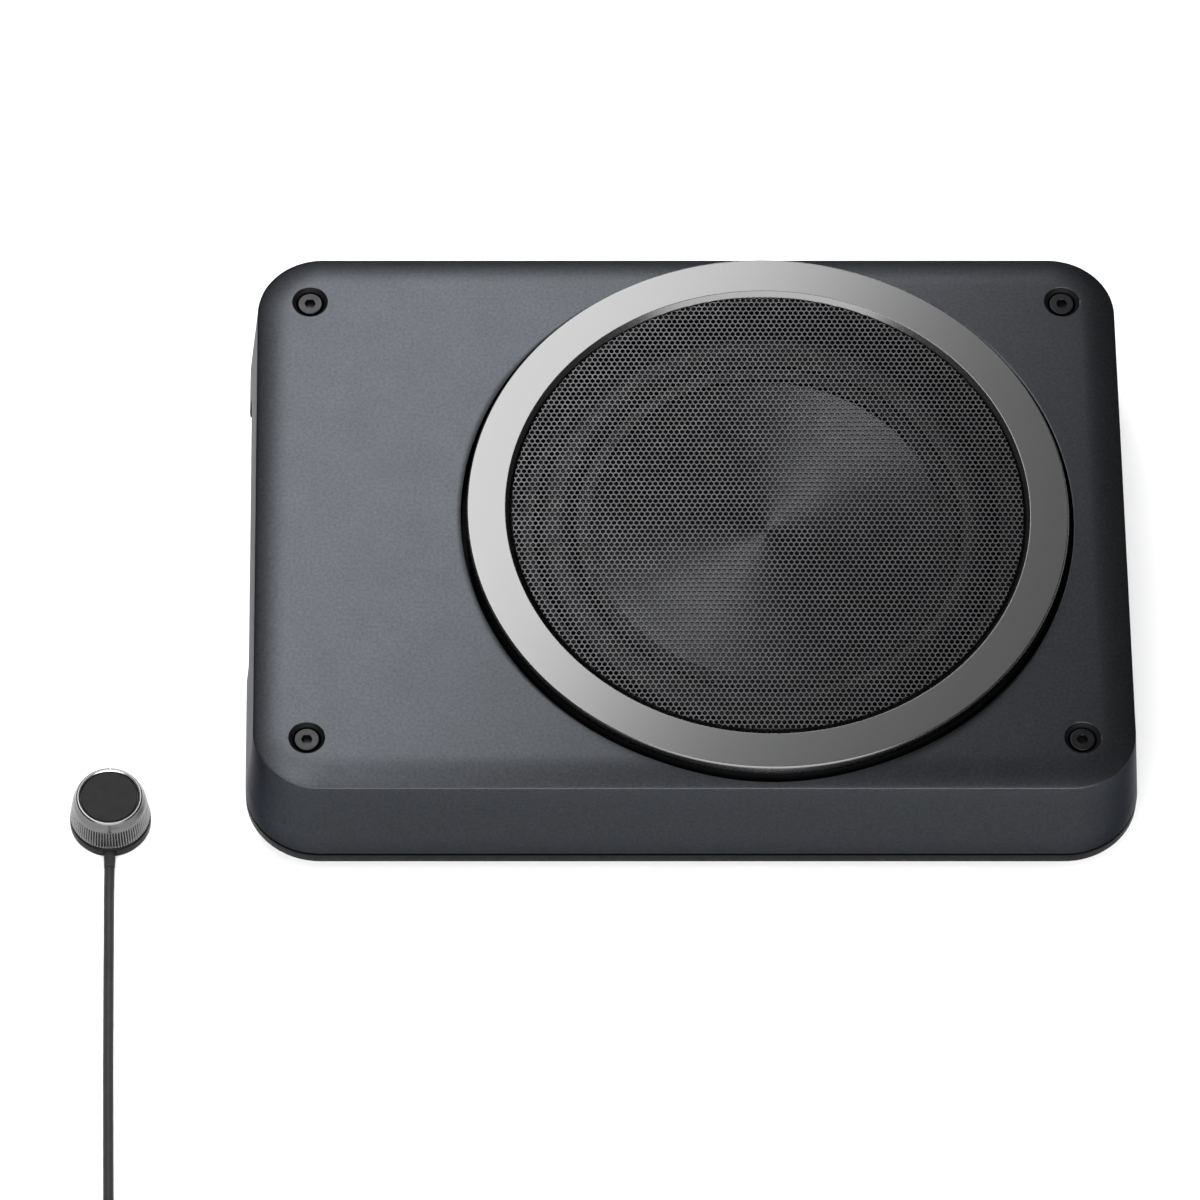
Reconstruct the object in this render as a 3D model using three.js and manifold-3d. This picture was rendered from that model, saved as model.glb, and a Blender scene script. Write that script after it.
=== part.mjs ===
// Powered car subwoofer: a flat under-seat enclosure with an eight-inch driver behind a
// grille, its built-in amplifier, a recessed connector bay and a wired rotary bass control.
// Millimetres, +Z up, standing on z = 0. The enclosure is longest along X.
import * as THREE from 'three';
import { mergeVertices } from 'three/addons/utils/BufferGeometryUtils.js';
import Module from 'manifold-3d';

const wasm = await Module();
wasm.setup();

// ---- driving dimensions ---------------------------------------------------------------

const GAP = 0.3; // clearance kept between touching pieces

// enclosure
const BODY_WIDTH = 345.1; // along X at the bottom of the skirt
const BODY_DEPTH = 250.6; // along Y at the bottom of the skirt
const BODY_CORNER = 29.1;
const DRAFT = 3.6; // how far the skirt flares out on each side
const TOP_Z = 66.8;
const CREASE_Z = TOP_Z - 2.4; // the crisp edge between top and skirt
const ROLL_WIDTH = 14; // width of the rolled edge of the top
const SKIRT_Z = TOP_Z - 45.5;
const WALL = 2.6;
const FLANGE_Z = TOP_Z - 51.7; // underside of the black flange below the skirt
const FLANGE_INSET = 0.1;
const SEAM_HEIGHT = 1.4; // of the shadow line between skirt and flange
const SEAM_DEPTH = 2.5;
const PAN_INSET = 13;
const FOOT_HEIGHT = 5;
const PAN_FLOOR = 2.5;
const SCREW_X = 148.3;
const SCREW_Y = 100.3;
const BOSS_RADIUS = 7;
const BOSS_SPLIT_Z = 23; // where the cover's bosses meet the pan's

// driver and its trim, about the driver's axis
const DRIVER_X = 29.9;
const WELL_RADIUS = 119;
const LEDGE_RADIUS = 96;
const LEDGE_Z = 52.5;
const LEDGE_THICKNESS = 2.6;
const RING_OUTER = 116.6;
const RING_INNER = 101.8;
const RING_BEVEL = 2;
const RING_TOP_Z = 72.3;
const PLINTH_TOP_Z = 67.2;
const GRILLE_EDGE_Z = 70.3;
const GRILLE_RADIUS = 99.3;
const DRIVER_SCREW_RADIUS = 106;
const CONE_RADIUS = 72;
const COIL_RADIUS = 20;

// connector bay in the left end
const BAY_Y = [-48, 77];
const BAY_TOP_Z = 33.8;
const PANEL_FACE_X = -148.7;
const PANEL_THICKNESS = 2.5;
const PANEL_MID_Z = 19;

// remote bass control, about its own axis
const REMOTE_OFFSET_X = -225.2; // from the middle of the enclosure
const REMOTE_Y = -99;
const REMOTE_RADIUS = 15.7;
const REMOTE_BASE_HEIGHT = 6;
const KNOB_BOTTOM_Z = 6.6;
const KNOB_TOP_Z = 20.6;

// the remote's cord: 5 m of 4 mm cord, most of it wound in a coil
const CORD_RADIUS = 2;
const CORD_PITCH = 4.1; // spacing of the turns
const COIL_MEAN_RADIUS = 27.3;
const COIL_COLUMNS = 6;
const COIL_LAYERS = 5;
const COIL_BOTTOM_Z = 1;
const COIL_CENTRE = [40.3, -233]; // from the remote's axis

// The enclosure and the remote together stay centred on X = 0.
const BODY_X = (-REMOTE_OFFSET_X + REMOTE_RADIUS - BODY_WIDTH / 2) / 2;
const REMOTE_X = BODY_X + REMOTE_OFFSET_X;

const SEGMENTS_LARGE = 44;
const SEGMENTS_MEDIUM = 28;
const SEGMENTS_SMALL = 12;

// ---- geometry helpers -----------------------------------------------------------------

// A closed mesh with shared vertices, as a solid that can be joined and cut.
function solidOf(geometry) {
  const bare = geometry.clone();
  bare.deleteAttribute('normal');
  bare.deleteAttribute('uv');
  const merged = mergeVertices(bare, 1e-3);
  const index = merged.index.array;
  const triangles = [];
  for (let i = 0; i < index.length; i += 3) {
    const [a, b, c] = [index[i], index[i + 1], index[i + 2]];
    if (a !== b && b !== c && c !== a) triangles.push(a, b, c);
  }
  return new wasm.Manifold(new wasm.Mesh({
    numProp: 3,
    vertProperties: Float32Array.from(merged.attributes.position.array),
    triVerts: Uint32Array.from(triangles),
  }));
}

function geometryOf(solid) {
  const mesh = solid.getMesh();
  const geometry = new THREE.BufferGeometry();
  geometry.setAttribute('position', new THREE.Float32BufferAttribute(mesh.vertProperties, 3));
  geometry.setIndex(Array.from(mesh.triVerts));
  geometry.computeVertexNormals();
  return geometry;
}

function join(first, ...others) {
  return others.reduce((sum, other) => sum.add(other), first);
}

function cut(first, ...others) {
  return others.reduce((rest, other) => rest.subtract(other), first);
}

// A solid of revolution about Z from a closed [radius, z] profile, in either order.
function revolve(profile, segments = SEGMENTS_LARGE) {
  let area = 0;
  profile.forEach(([r, z], i) => {
    const [nextR, nextZ] = profile[(i + 1) % profile.length];
    area += r * nextZ - nextR * z;
  });
  const ordered = area > 0 ? profile : [...profile].reverse();
  const points = ordered.map(([r, z]) => new THREE.Vector2(r, z));
  points.push(points[0].clone());
  return solidOf(new THREE.LatheGeometry(points, segments).rotateX(Math.PI / 2));
}

function disc(radius, z0, z1, segments = SEGMENTS_MEDIUM) {
  return revolve([[0, z0], [radius, z0], [radius, z1], [0, z1]], segments);
}

function annulus(inner, outer, z0, z1, segments = SEGMENTS_LARGE) {
  return revolve([[inner, z0], [outer, z0], [outer, z1], [inner, z1]], segments);
}

// A box from its lowest to its highest corner.
function block([x0, y0, z0], [x1, y1, z1]) {
  const geometry = new THREE.BoxGeometry(x1 - x0, y1 - y0, z1 - z0);
  geometry.translate((x0 + x1) / 2, (y0 + y1) / 2, (z0 + z1) / 2);
  return solidOf(geometry);
}

// A box given by its middle in Y and Z, as the pieces on the connector panel are.
function panelBlock(x0, x1, y, z, width, height) {
  return block([x0, y - width / 2, z - height / 2], [x1, y + width / 2, z + height / 2]);
}

// A solid of revolution laid along X, its profile's z counted outwards from the panel face.
function panelRevolve(profile, y, z, segments = SEGMENTS_SMALL) {
  return revolve(profile, segments).rotate([0, -90, 0]).translate([PANEL_FACE_X, y, z]);
}

function roundedRectangle(width, depth, radius) {
  const x = width / 2 - radius;
  const y = depth / 2 - radius;
  const shape = new THREE.Shape();
  shape.absarc(x, y, radius, 0, Math.PI / 2);
  shape.absarc(-x, y, radius, Math.PI / 2, Math.PI);
  shape.absarc(-x, -y, radius, Math.PI, Math.PI * 1.5);
  shape.absarc(x, -y, radius, Math.PI * 1.5, Math.PI * 2);
  shape.closePath();
  return shape;
}

// A solid skinned over rounded rectangles, each given by how far it lies inside the
// enclosure's bottom outline and its height.
function loftInside(levels) {
  const cornerSteps = 4;
  const rings = levels.map(([inset, z]) => {
    const outline = roundedRectangle(
      BODY_WIDTH - 2 * inset,
      BODY_DEPTH - 2 * inset,
      Math.max(BODY_CORNER - inset, 4),
    );
    const flat = outline.getPoints(cornerSteps).slice(0, -1);
    return flat.map((point) => [point.x, point.y, z]);
  });
  const size = rings[0].length;
  const index = [];
  for (let level = 0; level + 1 < rings.length; level += 1) {
    for (let i = 0; i < size; i += 1) {
      const a = level * size + i;
      const b = level * size + ((i + 1) % size);
      index.push(a, b, b + size, a, b + size, a + size);
    }
  }
  const lastRing = (rings.length - 1) * size;
  for (let i = 1; i + 1 < size; i += 1) {
    index.push(0, i + 1, i);
    index.push(lastRing, lastRing + i, lastRing + i + 1);
  }
  const geometry = new THREE.BufferGeometry();
  const positions = rings.flat(2);
  geometry.setAttribute('position', new THREE.Float32BufferAttribute(positions, 3));
  geometry.setIndex(index);
  return solidOf(geometry);
}

// Applies make(x, y, n) at the four corners x = +-dx, y = +-dy, n = 1..4.
function atCorners(dx, dy, make) {
  return [[-dx, -dy], [dx, -dy], [dx, dy], [-dx, dy]].map(([x, y], i) => make(x, y, i + 1));
}

// ---- the assembly ---------------------------------------------------------------------

const subwoofer = new THREE.Group();
const enclosure = new THREE.Group();
enclosure.position.x = BODY_X;
const driver = new THREE.Group();
driver.position.x = DRIVER_X;
enclosure.add(driver);
const remote = new THREE.Group();
remote.position.set(REMOTE_X, REMOTE_Y, 0);
subwoofer.add(enclosure, remote);

function finish(color, roughness, metalness) {
  return { color, roughness, metalness };
}

const PAINT = finish(0x4a4d52, 0.45, 0.6);
const BLACK_PLASTIC = finish(0x17181a, 0.6, 0);
const RUBBER = finish(0x101010, 0.9, 0);
const BLACK_STEEL = finish(0x1c1d1f, 0.4, 0.8);
const BRUSHED = finish(0x9a9b9d, 0.3, 1);
const STEEL = finish(0x8a8c8f, 0.4, 1);
const ALUMINIUM = finish(0xa8aaad, 0.45, 1);
const COPPER = finish(0xa0562c, 0.4, 1);
const FERRITE = finish(0x262628, 0.8, 0.1);
const BOARD = finish(0x14502c, 0.5, 0);
const CLOTH = finish(0xb08a48, 0.9, 0);
const FUSE_BLUE = finish(0x1f6fc0, 0.25, 0);

function place(group, name, solid, look) {
  const mesh = new THREE.Mesh(geometryOf(solid), new THREE.MeshStandardMaterial(look));
  mesh.name = name;
  group.add(mesh);
}

// ---- enclosure ------------------------------------------------------------------------

function screwBore(x, y) {
  const bore = [
    [0, BOSS_SPLIT_Z - 1], [2.5, BOSS_SPLIT_Z - 1], [2.5, TOP_Z - 4.5], [5.5, TOP_Z - 4.5],
    [5.5, TOP_Z - 1.4], [6.95, TOP_Z], [6.95, TOP_Z + 1], [0, TOP_Z + 1],
  ];
  return revolve(bore, SEGMENTS_SMALL).translate([x, y, 0]);
}

function driverScrewHoles(radius, z0, z1) {
  return [45, 135, 225, 315].map((degrees) => {
    const angle = THREE.MathUtils.degToRad(degrees);
    const x = DRIVER_SCREW_RADIUS * Math.cos(angle);
    const y = DRIVER_SCREW_RADIUS * Math.sin(angle);
    return disc(radius, z0, z1, 12).translate([x, y, 0]);
  });
}

function makeTopCover() {
  const outer = loftInside([
    [0, SKIRT_Z],
    [DRAFT, CREASE_Z],
    [DRAFT + 0.36 * ROLL_WIDTH, TOP_Z - 1],
    [DRAFT + 0.68 * ROLL_WIDTH, TOP_Z - 0.25],
    [DRAFT + ROLL_WIDTH, TOP_Z],
  ]);
  const cavity = loftInside([
    [WALL - 0.1, SKIRT_Z - 1],
    [DRAFT + WALL, CREASE_Z - 3],
    [DRAFT + WALL + 3, TOP_Z - WALL],
  ]);
  const wellBlank = disc(WELL_RADIUS + WALL, LEDGE_Z - LEDGE_THICKNESS, TOP_Z + 1, SEGMENTS_LARGE);
  const bosses = atCorners(SCREW_X, SCREW_Y, (x, y) => (
    disc(BOSS_RADIUS, BOSS_SPLIT_Z, TOP_Z, SEGMENTS_SMALL).translate([x, y, 0])
  ));
  const hollow = cut(cavity, wellBlank.translate([DRIVER_X, 0, 0]), ...bosses);
  const well = revolve([
    [0, LEDGE_Z - 5], [LEDGE_RADIUS, LEDGE_Z - 5], [LEDGE_RADIUS, LEDGE_Z],
    [WELL_RADIUS, LEDGE_Z], [WELL_RADIUS, TOP_Z + 1], [0, TOP_Z + 1],
  ]);
  const bayOpening = block([-BODY_WIDTH, BAY_Y[0], 0], [-160, BAY_Y[1], BAY_TOP_Z]);
  const bores = atCorners(SCREW_X, SCREW_Y, screwBore);
  const ledgeHoles = driverScrewHoles(2.1, LEDGE_Z - 5, LEDGE_Z + 1);
  return cut(
    outer,
    hollow,
    join(well, ...ledgeHoles).translate([DRIVER_X, 0, 0]),
    bayOpening,
    ...bores,
  );
}

const PAN_FLOOR_TOP = FOOT_HEIGHT + PAN_FLOOR;
const BOARD_X = [-133, -73];
const BOARD_HALF_Y = 95;
const BOARD_Z = 13;

function makeBasePan() {
  const flange = loftInside([[FLANGE_INSET, FLANGE_Z], [FLANGE_INSET, SKIRT_Z - SEAM_HEIGHT]]);
  const rim = loftInside([
    [FLANGE_INSET + SEAM_DEPTH, FLANGE_Z],
    [FLANGE_INSET + SEAM_DEPTH, SKIRT_Z - GAP],
  ]);
  const tray = loftInside([[PAN_INSET + 1, FOOT_HEIGHT], [PAN_INSET, FLANGE_Z + 1]]);
  const cavity = loftInside([
    [PAN_INSET + 1 + WALL, PAN_FLOOR_TOP],
    [PAN_INSET + WALL, SKIRT_Z + 1],
  ]);
  const bosses = atCorners(SCREW_X, SCREW_Y, (x, y) => (
    cut(
      disc(BOSS_RADIUS, PAN_FLOOR_TOP - 1, BOSS_SPLIT_Z - GAP, SEGMENTS_SMALL),
      disc(2.4, PAN_FLOOR_TOP + 2, BOSS_SPLIT_Z + 1, SEGMENTS_SMALL),
    ).translate([x, y, 0])
  ));
  const boardMiddle = (BOARD_X[0] + BOARD_X[1]) / 2;
  const standoffs = atCorners(24, 86, (x, y) => (
    disc(3, PAN_FLOOR_TOP - 1, BOARD_Z - GAP, 12).translate([boardMiddle + x, y, 0])
  ));
  const yokeSeat = annulus(30, 40, PAN_FLOOR_TOP - 1, 9.7, SEGMENTS_MEDIUM).translate([DRIVER_X, 0, 0]);
  const bay = block(
    [-BODY_WIDTH, BAY_Y[0] - 2.6, 0],
    [PANEL_FACE_X + PANEL_THICKNESS + GAP, BAY_Y[1] + 2.6, BAY_TOP_Z],
  );
  const shell = cut(join(flange, rim, tray), cavity);
  return cut(join(shell, ...bosses, ...standoffs, yokeSeat), bay);
}

function makeCoverGasket() {
  const z0 = SKIRT_Z + 0.1;
  const z1 = SKIRT_Z + 1.6;
  const outer = loftInside([[WALL + 0.8, z0], [WALL + 0.8, z1]]);
  const inner = loftInside([[WALL + 4.2, z0 - 1], [WALL + 4.2, z1 + 1]]);
  const bay = block([-BODY_WIDTH, BAY_Y[0] - 2.9, 0], [-150, BAY_Y[1] + 2.9, BAY_TOP_Z]);
  return cut(outer, inner, bay);
}

// A flat-headed socket screw hanging down from its head.
function makeScrew(headRadius, headHeight, shankRadius, length, socketWidth, z) {
  const screw = revolve([
    [0, z - headHeight - length], [shankRadius * 0.6, z - headHeight - length],
    [shankRadius, z - headHeight - length + 1.5], [shankRadius, z - headHeight],
    [headRadius, z - headHeight], [headRadius, z - 0.5], [headRadius - 0.5, z], [0, z],
  ], SEGMENTS_SMALL);
  const socket = disc(socketWidth / Math.sqrt(3), z - headHeight * 0.7, z + 1, 6);
  return cut(screw, socket);
}

function makeFoot() {
  return revolve([[0, 0], [8.2, 0], [9, 0.8], [9, FOOT_HEIGHT - GAP], [0, FOOT_HEIGHT - GAP]], 16);
}

place(enclosure, 'top_cover', makeTopCover(), PAINT);
place(enclosure, 'base_pan', makeBasePan(), BLACK_PLASTIC);
place(enclosure, 'cover_gasket', makeCoverGasket(), RUBBER);
atCorners(SCREW_X, SCREW_Y, (x, y, n) => {
  const screw = makeScrew(4.85, 3, 2.1, 50, 4, TOP_Z - 1.2).translate([x, y, 0]);
  place(enclosure, `cover_screw_${n}`, screw, BLACK_STEEL);
});
atCorners(138, 92, (x, y, n) => {
  place(enclosure, `foot_${n}`, makeFoot().translate([x, y, 0]), RUBBER);
});

// ---- driver trim ----------------------------------------------------------------------

const grillePlinth = revolve([
  [LEDGE_RADIUS, PLINTH_TOP_Z - 2.7], [RING_OUTER - 3, PLINTH_TOP_Z - 2.7],
  [RING_OUTER - 3, LEDGE_Z + GAP], [RING_OUTER, LEDGE_Z + GAP],
  [RING_OUTER, PLINTH_TOP_Z], [LEDGE_RADIUS, PLINTH_TOP_Z],
]);
const trimRing = revolve([
  [RING_INNER - RING_BEVEL, PLINTH_TOP_Z + GAP], [RING_OUTER + 0.4, PLINTH_TOP_Z + GAP],
  [RING_OUTER + 0.3, RING_TOP_Z - 0.9], [RING_OUTER - 0.2, RING_TOP_Z - 0.2],
  [RING_INNER, RING_TOP_Z], [RING_INNER - RING_BEVEL, RING_TOP_Z - RING_BEVEL],
]);
const grilleBezel = revolve([
  [LEDGE_RADIUS + 0.5, PLINTH_TOP_Z + GAP], [GRILLE_RADIUS, PLINTH_TOP_Z + GAP],
  [GRILLE_RADIUS, GRILLE_EDGE_Z - GAP], [LEDGE_RADIUS + 0.5, GRILLE_EDGE_Z - GAP],
]);
const grille = revolve([
  [0, GRILLE_EDGE_Z + 0.5], [GRILLE_RADIUS / 2, GRILLE_EDGE_Z + 0.35],
  [GRILLE_RADIUS, GRILLE_EDGE_Z], [GRILLE_RADIUS, GRILLE_EDGE_Z + 0.8],
  [GRILLE_RADIUS / 2, GRILLE_EDGE_Z + 1.15], [0, GRILLE_EDGE_Z + 1.3],
], SEGMENTS_MEDIUM);

place(driver, 'grille_plinth', grillePlinth, BLACK_PLASTIC);
place(driver, 'trim_ring', trimRing, BRUSHED);
place(driver, 'grille_bezel', grilleBezel, BLACK_PLASTIC);
place(driver, 'grille', grille, BLACK_STEEL);

// ---- driver ---------------------------------------------------------------------------

const FLANGE_BOTTOM_Z = LEDGE_Z + 1.6;
const FLANGE_TOP_Z = FLANGE_BOTTOM_Z + 2.5;
const PLATE_TOP_Z = 34; // top of the magnet's front plate
const SPIDER_Z = 40;
const CONE_EDGE_Z = 58.2;
const CONE_CENTRE_Z = 56.2;

function annularSector(inner, outer, halfAngle, z0, z1) {
  const shape = new THREE.Shape();
  shape.absarc(0, 0, outer, -halfAngle, halfAngle);
  shape.absarc(0, 0, inner, halfAngle, -halfAngle, true);
  const sector = new THREE.ExtrudeGeometry(shape, {
    depth: z1 - z0,
    curveSegments: 2,
    bevelEnabled: false,
  });
  return solidOf(sector.translate(0, 0, z0));
}

function makeBasket() {
  const frame = revolve([
    [24, PLATE_TOP_Z + GAP], [58, PLATE_TOP_Z + GAP], [62, 36], [95.4, 47],
    [95.4, FLANGE_BOTTOM_Z], [112.5, FLANGE_BOTTOM_Z], [112.5, FLANGE_TOP_Z],
    [92.6, FLANGE_TOP_Z], [92.6, 48.6], [61, 38.6], [58, 38.6], [58, SPIDER_Z],
    [54, SPIDER_Z], [54, 36.4], [24, 36.4],
  ]);
  const windows = [];
  for (let i = 0; i < 6; i += 1) {
    const window = annularSector(64, 89, THREE.MathUtils.degToRad(21), 30, 52);
    windows.push(window.rotate([0, 0, 60 * i]));
  }
  const holes = driverScrewHoles(2.3, FLANGE_BOTTOM_Z - 1, FLANGE_TOP_Z + 1);
  return cut(frame, ...windows, ...holes);
}

// A diaphragm with its neck, which is glued round the voice coil's former.
const diaphragm = revolve([
  [COIL_RADIUS + 0.8, 50], [COIL_RADIUS + 2, 50], [COIL_RADIUS + 3, 53.5],
  [CONE_RADIUS - 4, CONE_EDGE_Z - 1.5], [CONE_RADIUS, CONE_EDGE_Z - 1.2],
  [CONE_RADIUS, CONE_EDGE_Z], [0, CONE_CENTRE_Z], [0, CONE_CENTRE_Z - 1.4],
  [COIL_RADIUS - 1, 54.2], [COIL_RADIUS + 0.8, 53.2],
], SEGMENTS_MEDIUM);

// One half roll between an outer lip on the basket and an inner lip on the diaphragm.
function makeSurround() {
  const [innerRadius, outerRadius] = [74, 91];
  const rollRadius = (outerRadius - innerRadius) / 2;
  const middle = (outerRadius + innerRadius) / 2;
  const innerZ = CONE_EDGE_Z + GAP;
  const outerZ = FLANGE_TOP_Z + GAP;
  const rollHeight = 3.6;
  const steps = 4;
  const top = [];
  const under = [];
  for (let i = 0; i <= steps; i += 1) {
    const angle = Math.PI * (i / steps);
    const r = middle + rollRadius * Math.cos(angle);
    const base = THREE.MathUtils.lerp(outerZ, innerZ, i / steps);
    const rise = rollHeight * Math.sin(angle);
    top.push([r, base + 0.8 + rise]);
    under.unshift([r, base + rise]);
  }
  return revolve([
    [CONE_RADIUS - 3, innerZ], ...under, [outerRadius + 4.5, outerZ],
    [outerRadius + 4.5, outerZ + 0.8], ...top, [CONE_RADIUS - 3, innerZ + 0.8],
  ], 36);
}

// A corrugated cloth disc that centres the voice coil.
function makeSpider() {
  const [innerRadius, outerRadius] = [COIL_RADIUS + 1.2, 57.5];
  const waves = 2;
  const steps = waves * 3;
  const top = [];
  const under = [];
  for (let i = 0; i <= steps; i += 1) {
    const r = THREE.MathUtils.lerp(innerRadius, outerRadius - 4, i / steps);
    const wave = 0.9 * (1 - Math.cos((Math.PI * 2 * waves * i) / steps));
    under.push([r, SPIDER_Z + GAP + wave]);
    top.unshift([r, SPIDER_Z + GAP + 0.6 + wave]);
  }
  return revolve([
    ...under, [outerRadius, SPIDER_Z + GAP], [outerRadius, SPIDER_Z + GAP + 0.6], ...top,
  ], SEGMENTS_MEDIUM);
}

const YOKE_Z = [10, 15];
const MAGNET_Z = [YOKE_Z[1] + GAP, 29];
const yoke = revolve([
  [6, YOKE_Z[0]], [44, YOKE_Z[0]], [46, YOKE_Z[0] + 2], [46, YOKE_Z[1]],
  [COIL_RADIUS - 0.7, YOKE_Z[1]], [COIL_RADIUS - 0.7, PLATE_TOP_Z], [6, PLATE_TOP_Z],
], SEGMENTS_MEDIUM);

place(driver, 'basket', makeBasket(), BLACK_STEEL);
place(
  driver,
  'basket_gasket',
  cut(
    annulus(LEDGE_RADIUS + 1, 112.5, LEDGE_Z + GAP, FLANGE_BOTTOM_Z - GAP, 36),
    ...driverScrewHoles(2.3, LEDGE_Z - 1, FLANGE_BOTTOM_Z + 1),
  ),
  RUBBER,
);
place(driver, 'diaphragm', diaphragm, ALUMINIUM);
place(driver, 'surround', makeSurround(), RUBBER);
place(driver, 'spider', makeSpider(), CLOTH);
place(
  driver,
  'coil_former',
  annulus(COIL_RADIUS, COIL_RADIUS + 0.5, 23, 53, SEGMENTS_MEDIUM),
  ALUMINIUM,
);
place(
  driver,
  'voice_coil',
  annulus(COIL_RADIUS + 0.52, COIL_RADIUS + 1.1, 26, 37, SEGMENTS_MEDIUM),
  COPPER,
);
place(driver, 'front_plate', annulus(COIL_RADIUS + 1.6, 48, 29.3, PLATE_TOP_Z, SEGMENTS_MEDIUM), STEEL);
place(driver, 'magnet', annulus(26, 50, ...MAGNET_Z, SEGMENTS_MEDIUM), FERRITE);
place(driver, 'yoke', yoke, STEEL);
[45, 135, 225, 315].forEach((degrees, i) => {
  const screw = makeScrew(3.5, 2.2, 1.8, 9, 2.5, FLANGE_TOP_Z + GAP + 2.2);
  const placed = screw.translate([DRIVER_SCREW_RADIUS, 0, 0]).rotate([0, 0, degrees]);
  place(driver, `driver_screw_${i + 1}`, placed, BLACK_STEEL);
});
place(
  driver,
  'driver_terminal',
  join(
    block([-88, -9, 49.9], [-84.5, 9, 53.8]),
    block([-91.8, -7.5, 50.6], [-88, -4.5, 51.4]),
    block([-91.8, 4.5, 50.6], [-88, 7.5, 51.4]),
  ),
  BLACK_PLASTIC,
);

// ---- amplifier ------------------------------------------------------------------------

const BOARD_TOP = BOARD_Z + 1.6;
const PART_Z = BOARD_TOP + GAP;

place(
  enclosure,
  'amplifier_board',
  block([BOARD_X[0], -BOARD_HALF_Y, BOARD_Z], [BOARD_X[1], BOARD_HALF_Y, BOARD_TOP]),
  BOARD,
);
const heatSink = join(
  block([-90, -60, PART_Z], [-86, 60, 44]),
  ...[20, 26, 32, 38].map((z) => block([-86.5, -60, z], [-79, 60, z + 1.8])),
);
place(enclosure, 'heat_sink', heatSink, ALUMINIUM);
[[-45, 1], [45, 2]].forEach(([y, n]) => {
  const transistor = block([-95, y - 5.2, PART_Z], [-90.3, y + 5.2, 34]);
  place(enclosure, `power_transistor_${n}`, transistor, BLACK_PLASTIC);
});
[32, 52, 72].forEach((y, i) => {
  const can = revolve([
    [0, PART_Z], [8, PART_Z], [8, PART_Z + 2], [7.6, PART_Z + 3], [8, PART_Z + 4],
    [8, 44], [0, 44],
  ], 14);
  place(enclosure, `capacitor_${i + 1}`, can.translate([-118, y, 0]), BLACK_PLASTIC);
});
place(
  enclosure,
  'choke_coil',
  annulus(6, 14, PART_Z, PART_Z + 12, 18).translate([-114, -62, 0]),
  COPPER,
);

// ---- connector bay --------------------------------------------------------------------

const PANEL_BACK_X = PANEL_FACE_X + PANEL_THICKNESS;
const POWER_Y = 64;
const INPUT_Y = 41.5;
const INPUT_Z = 25.6;
const FUSE_Z = 12.6;
const RCA_Y = [22.5, 8];
const JACK_Y = -6.6;
const GAIN_Y = -19;
const LOWPASS_Y = -30.4;
const SWITCH_Y = [-45, -36.6]; // the slot
const SWITCH_THUMB_Y = -42.9;

function makeConnectorPanel() {
  const outer = block(
    [-168.3, BAY_Y[0] - 2.3, FOOT_HEIGHT],
    [PANEL_BACK_X, BAY_Y[1] + 2.3, BAY_TOP_Z + 2.2],
  );
  const inner = block([-170, BAY_Y[0], 0], [PANEL_FACE_X, BAY_Y[1], BAY_TOP_Z]);
  const underFlange = block([-170, BAY_Y[0] - 3, 0], [-159, BAY_Y[1] + 3, FLANGE_Z]);
  const through = [PANEL_FACE_X - 1, PANEL_BACK_X + 1];
  const holes = [
    panelBlock(...through, POWER_Y, PANEL_MID_Z, 20.6, 13.6),
    panelBlock(...through, INPUT_Y, INPUT_Z, 16.6, 9.6),
    panelBlock(...through, INPUT_Y - 5, FUSE_Z, 6, 1.6),
    panelBlock(...through, INPUT_Y + 5, FUSE_Z, 6, 1.6),
    panelBlock(...through, JACK_Y, PANEL_MID_Z, 12.6, 12.6),
    panelBlock(...through, (SWITCH_Y[0] + SWITCH_Y[1]) / 2, PANEL_MID_Z, 8.4, 4),
    ...RCA_Y.map((y) => panelRevolve([[0, -9], [4.8, -9], [4.8, 2], [0, 2]], y, PANEL_MID_Z)),
    ...[GAIN_Y, LOWPASS_Y].map((y) => (
      panelRevolve([[0, -9], [3.2, -9], [3.2, 2], [0, 2]], y, PANEL_MID_Z)
    )),
  ];
  return cut(outer, inner, underFlange, ...holes);
}

// A rectangular socket with its contact pins standing in its hollow.
function makeSocket(y, z, width, height, front, back, pins) {
  const wall = 1.3;
  const floorX = back - 3;
  const body = panelBlock(front, back, y, z, width, height);
  const hollow = panelBlock(front - 1, floorX, y, z, width - 2 * wall, height - 2 * wall);
  const blades = pins.offsets.map((offset) => (
    panelBlock(floorX - pins.length, floorX + 1, y + offset, z, pins.width, pins.height)
  ));
  return join(cut(body, hollow), ...blades);
}

const powerPins = { offsets: [-6, -2, 2, 6], length: 7, width: 0.8, height: 4 };
const inputPins = { offsets: [-4.5, -1.5, 1.5, 4.5], length: 5, width: 0.8, height: 0.8 };
const jackPins = { offsets: [-2.4, -0.8, 0.8, 2.4], length: 2, width: 0.6, height: 0.6 };

function makeRcaJack(y) {
  return panelRevolve([
    [0, -8], [4.5, -8], [4.5, GAP], [6.5, GAP], [6.5, 1.7], [4.15, 1.7],
    [4.15, 9.5], [1.7, 9.5], [1.7, -4], [0, -4],
  ], y, PANEL_MID_Z, 16);
}

// A small trimmer knob with a pointer groove across its face.
function makeTrimmer(y) {
  const knob = panelRevolve([
    [0, -5], [2.8, -5], [2.8, GAP], [4.4, GAP], [4.4, 6.5], [3.9, 7], [0, 7],
  ], y, PANEL_MID_Z, 16);
  const groove = panelBlock(PANEL_FACE_X - 8, PANEL_FACE_X - 6.2, y, PANEL_MID_Z + 2.2, 0.9, 4.8);
  return cut(knob, groove);
}

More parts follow.
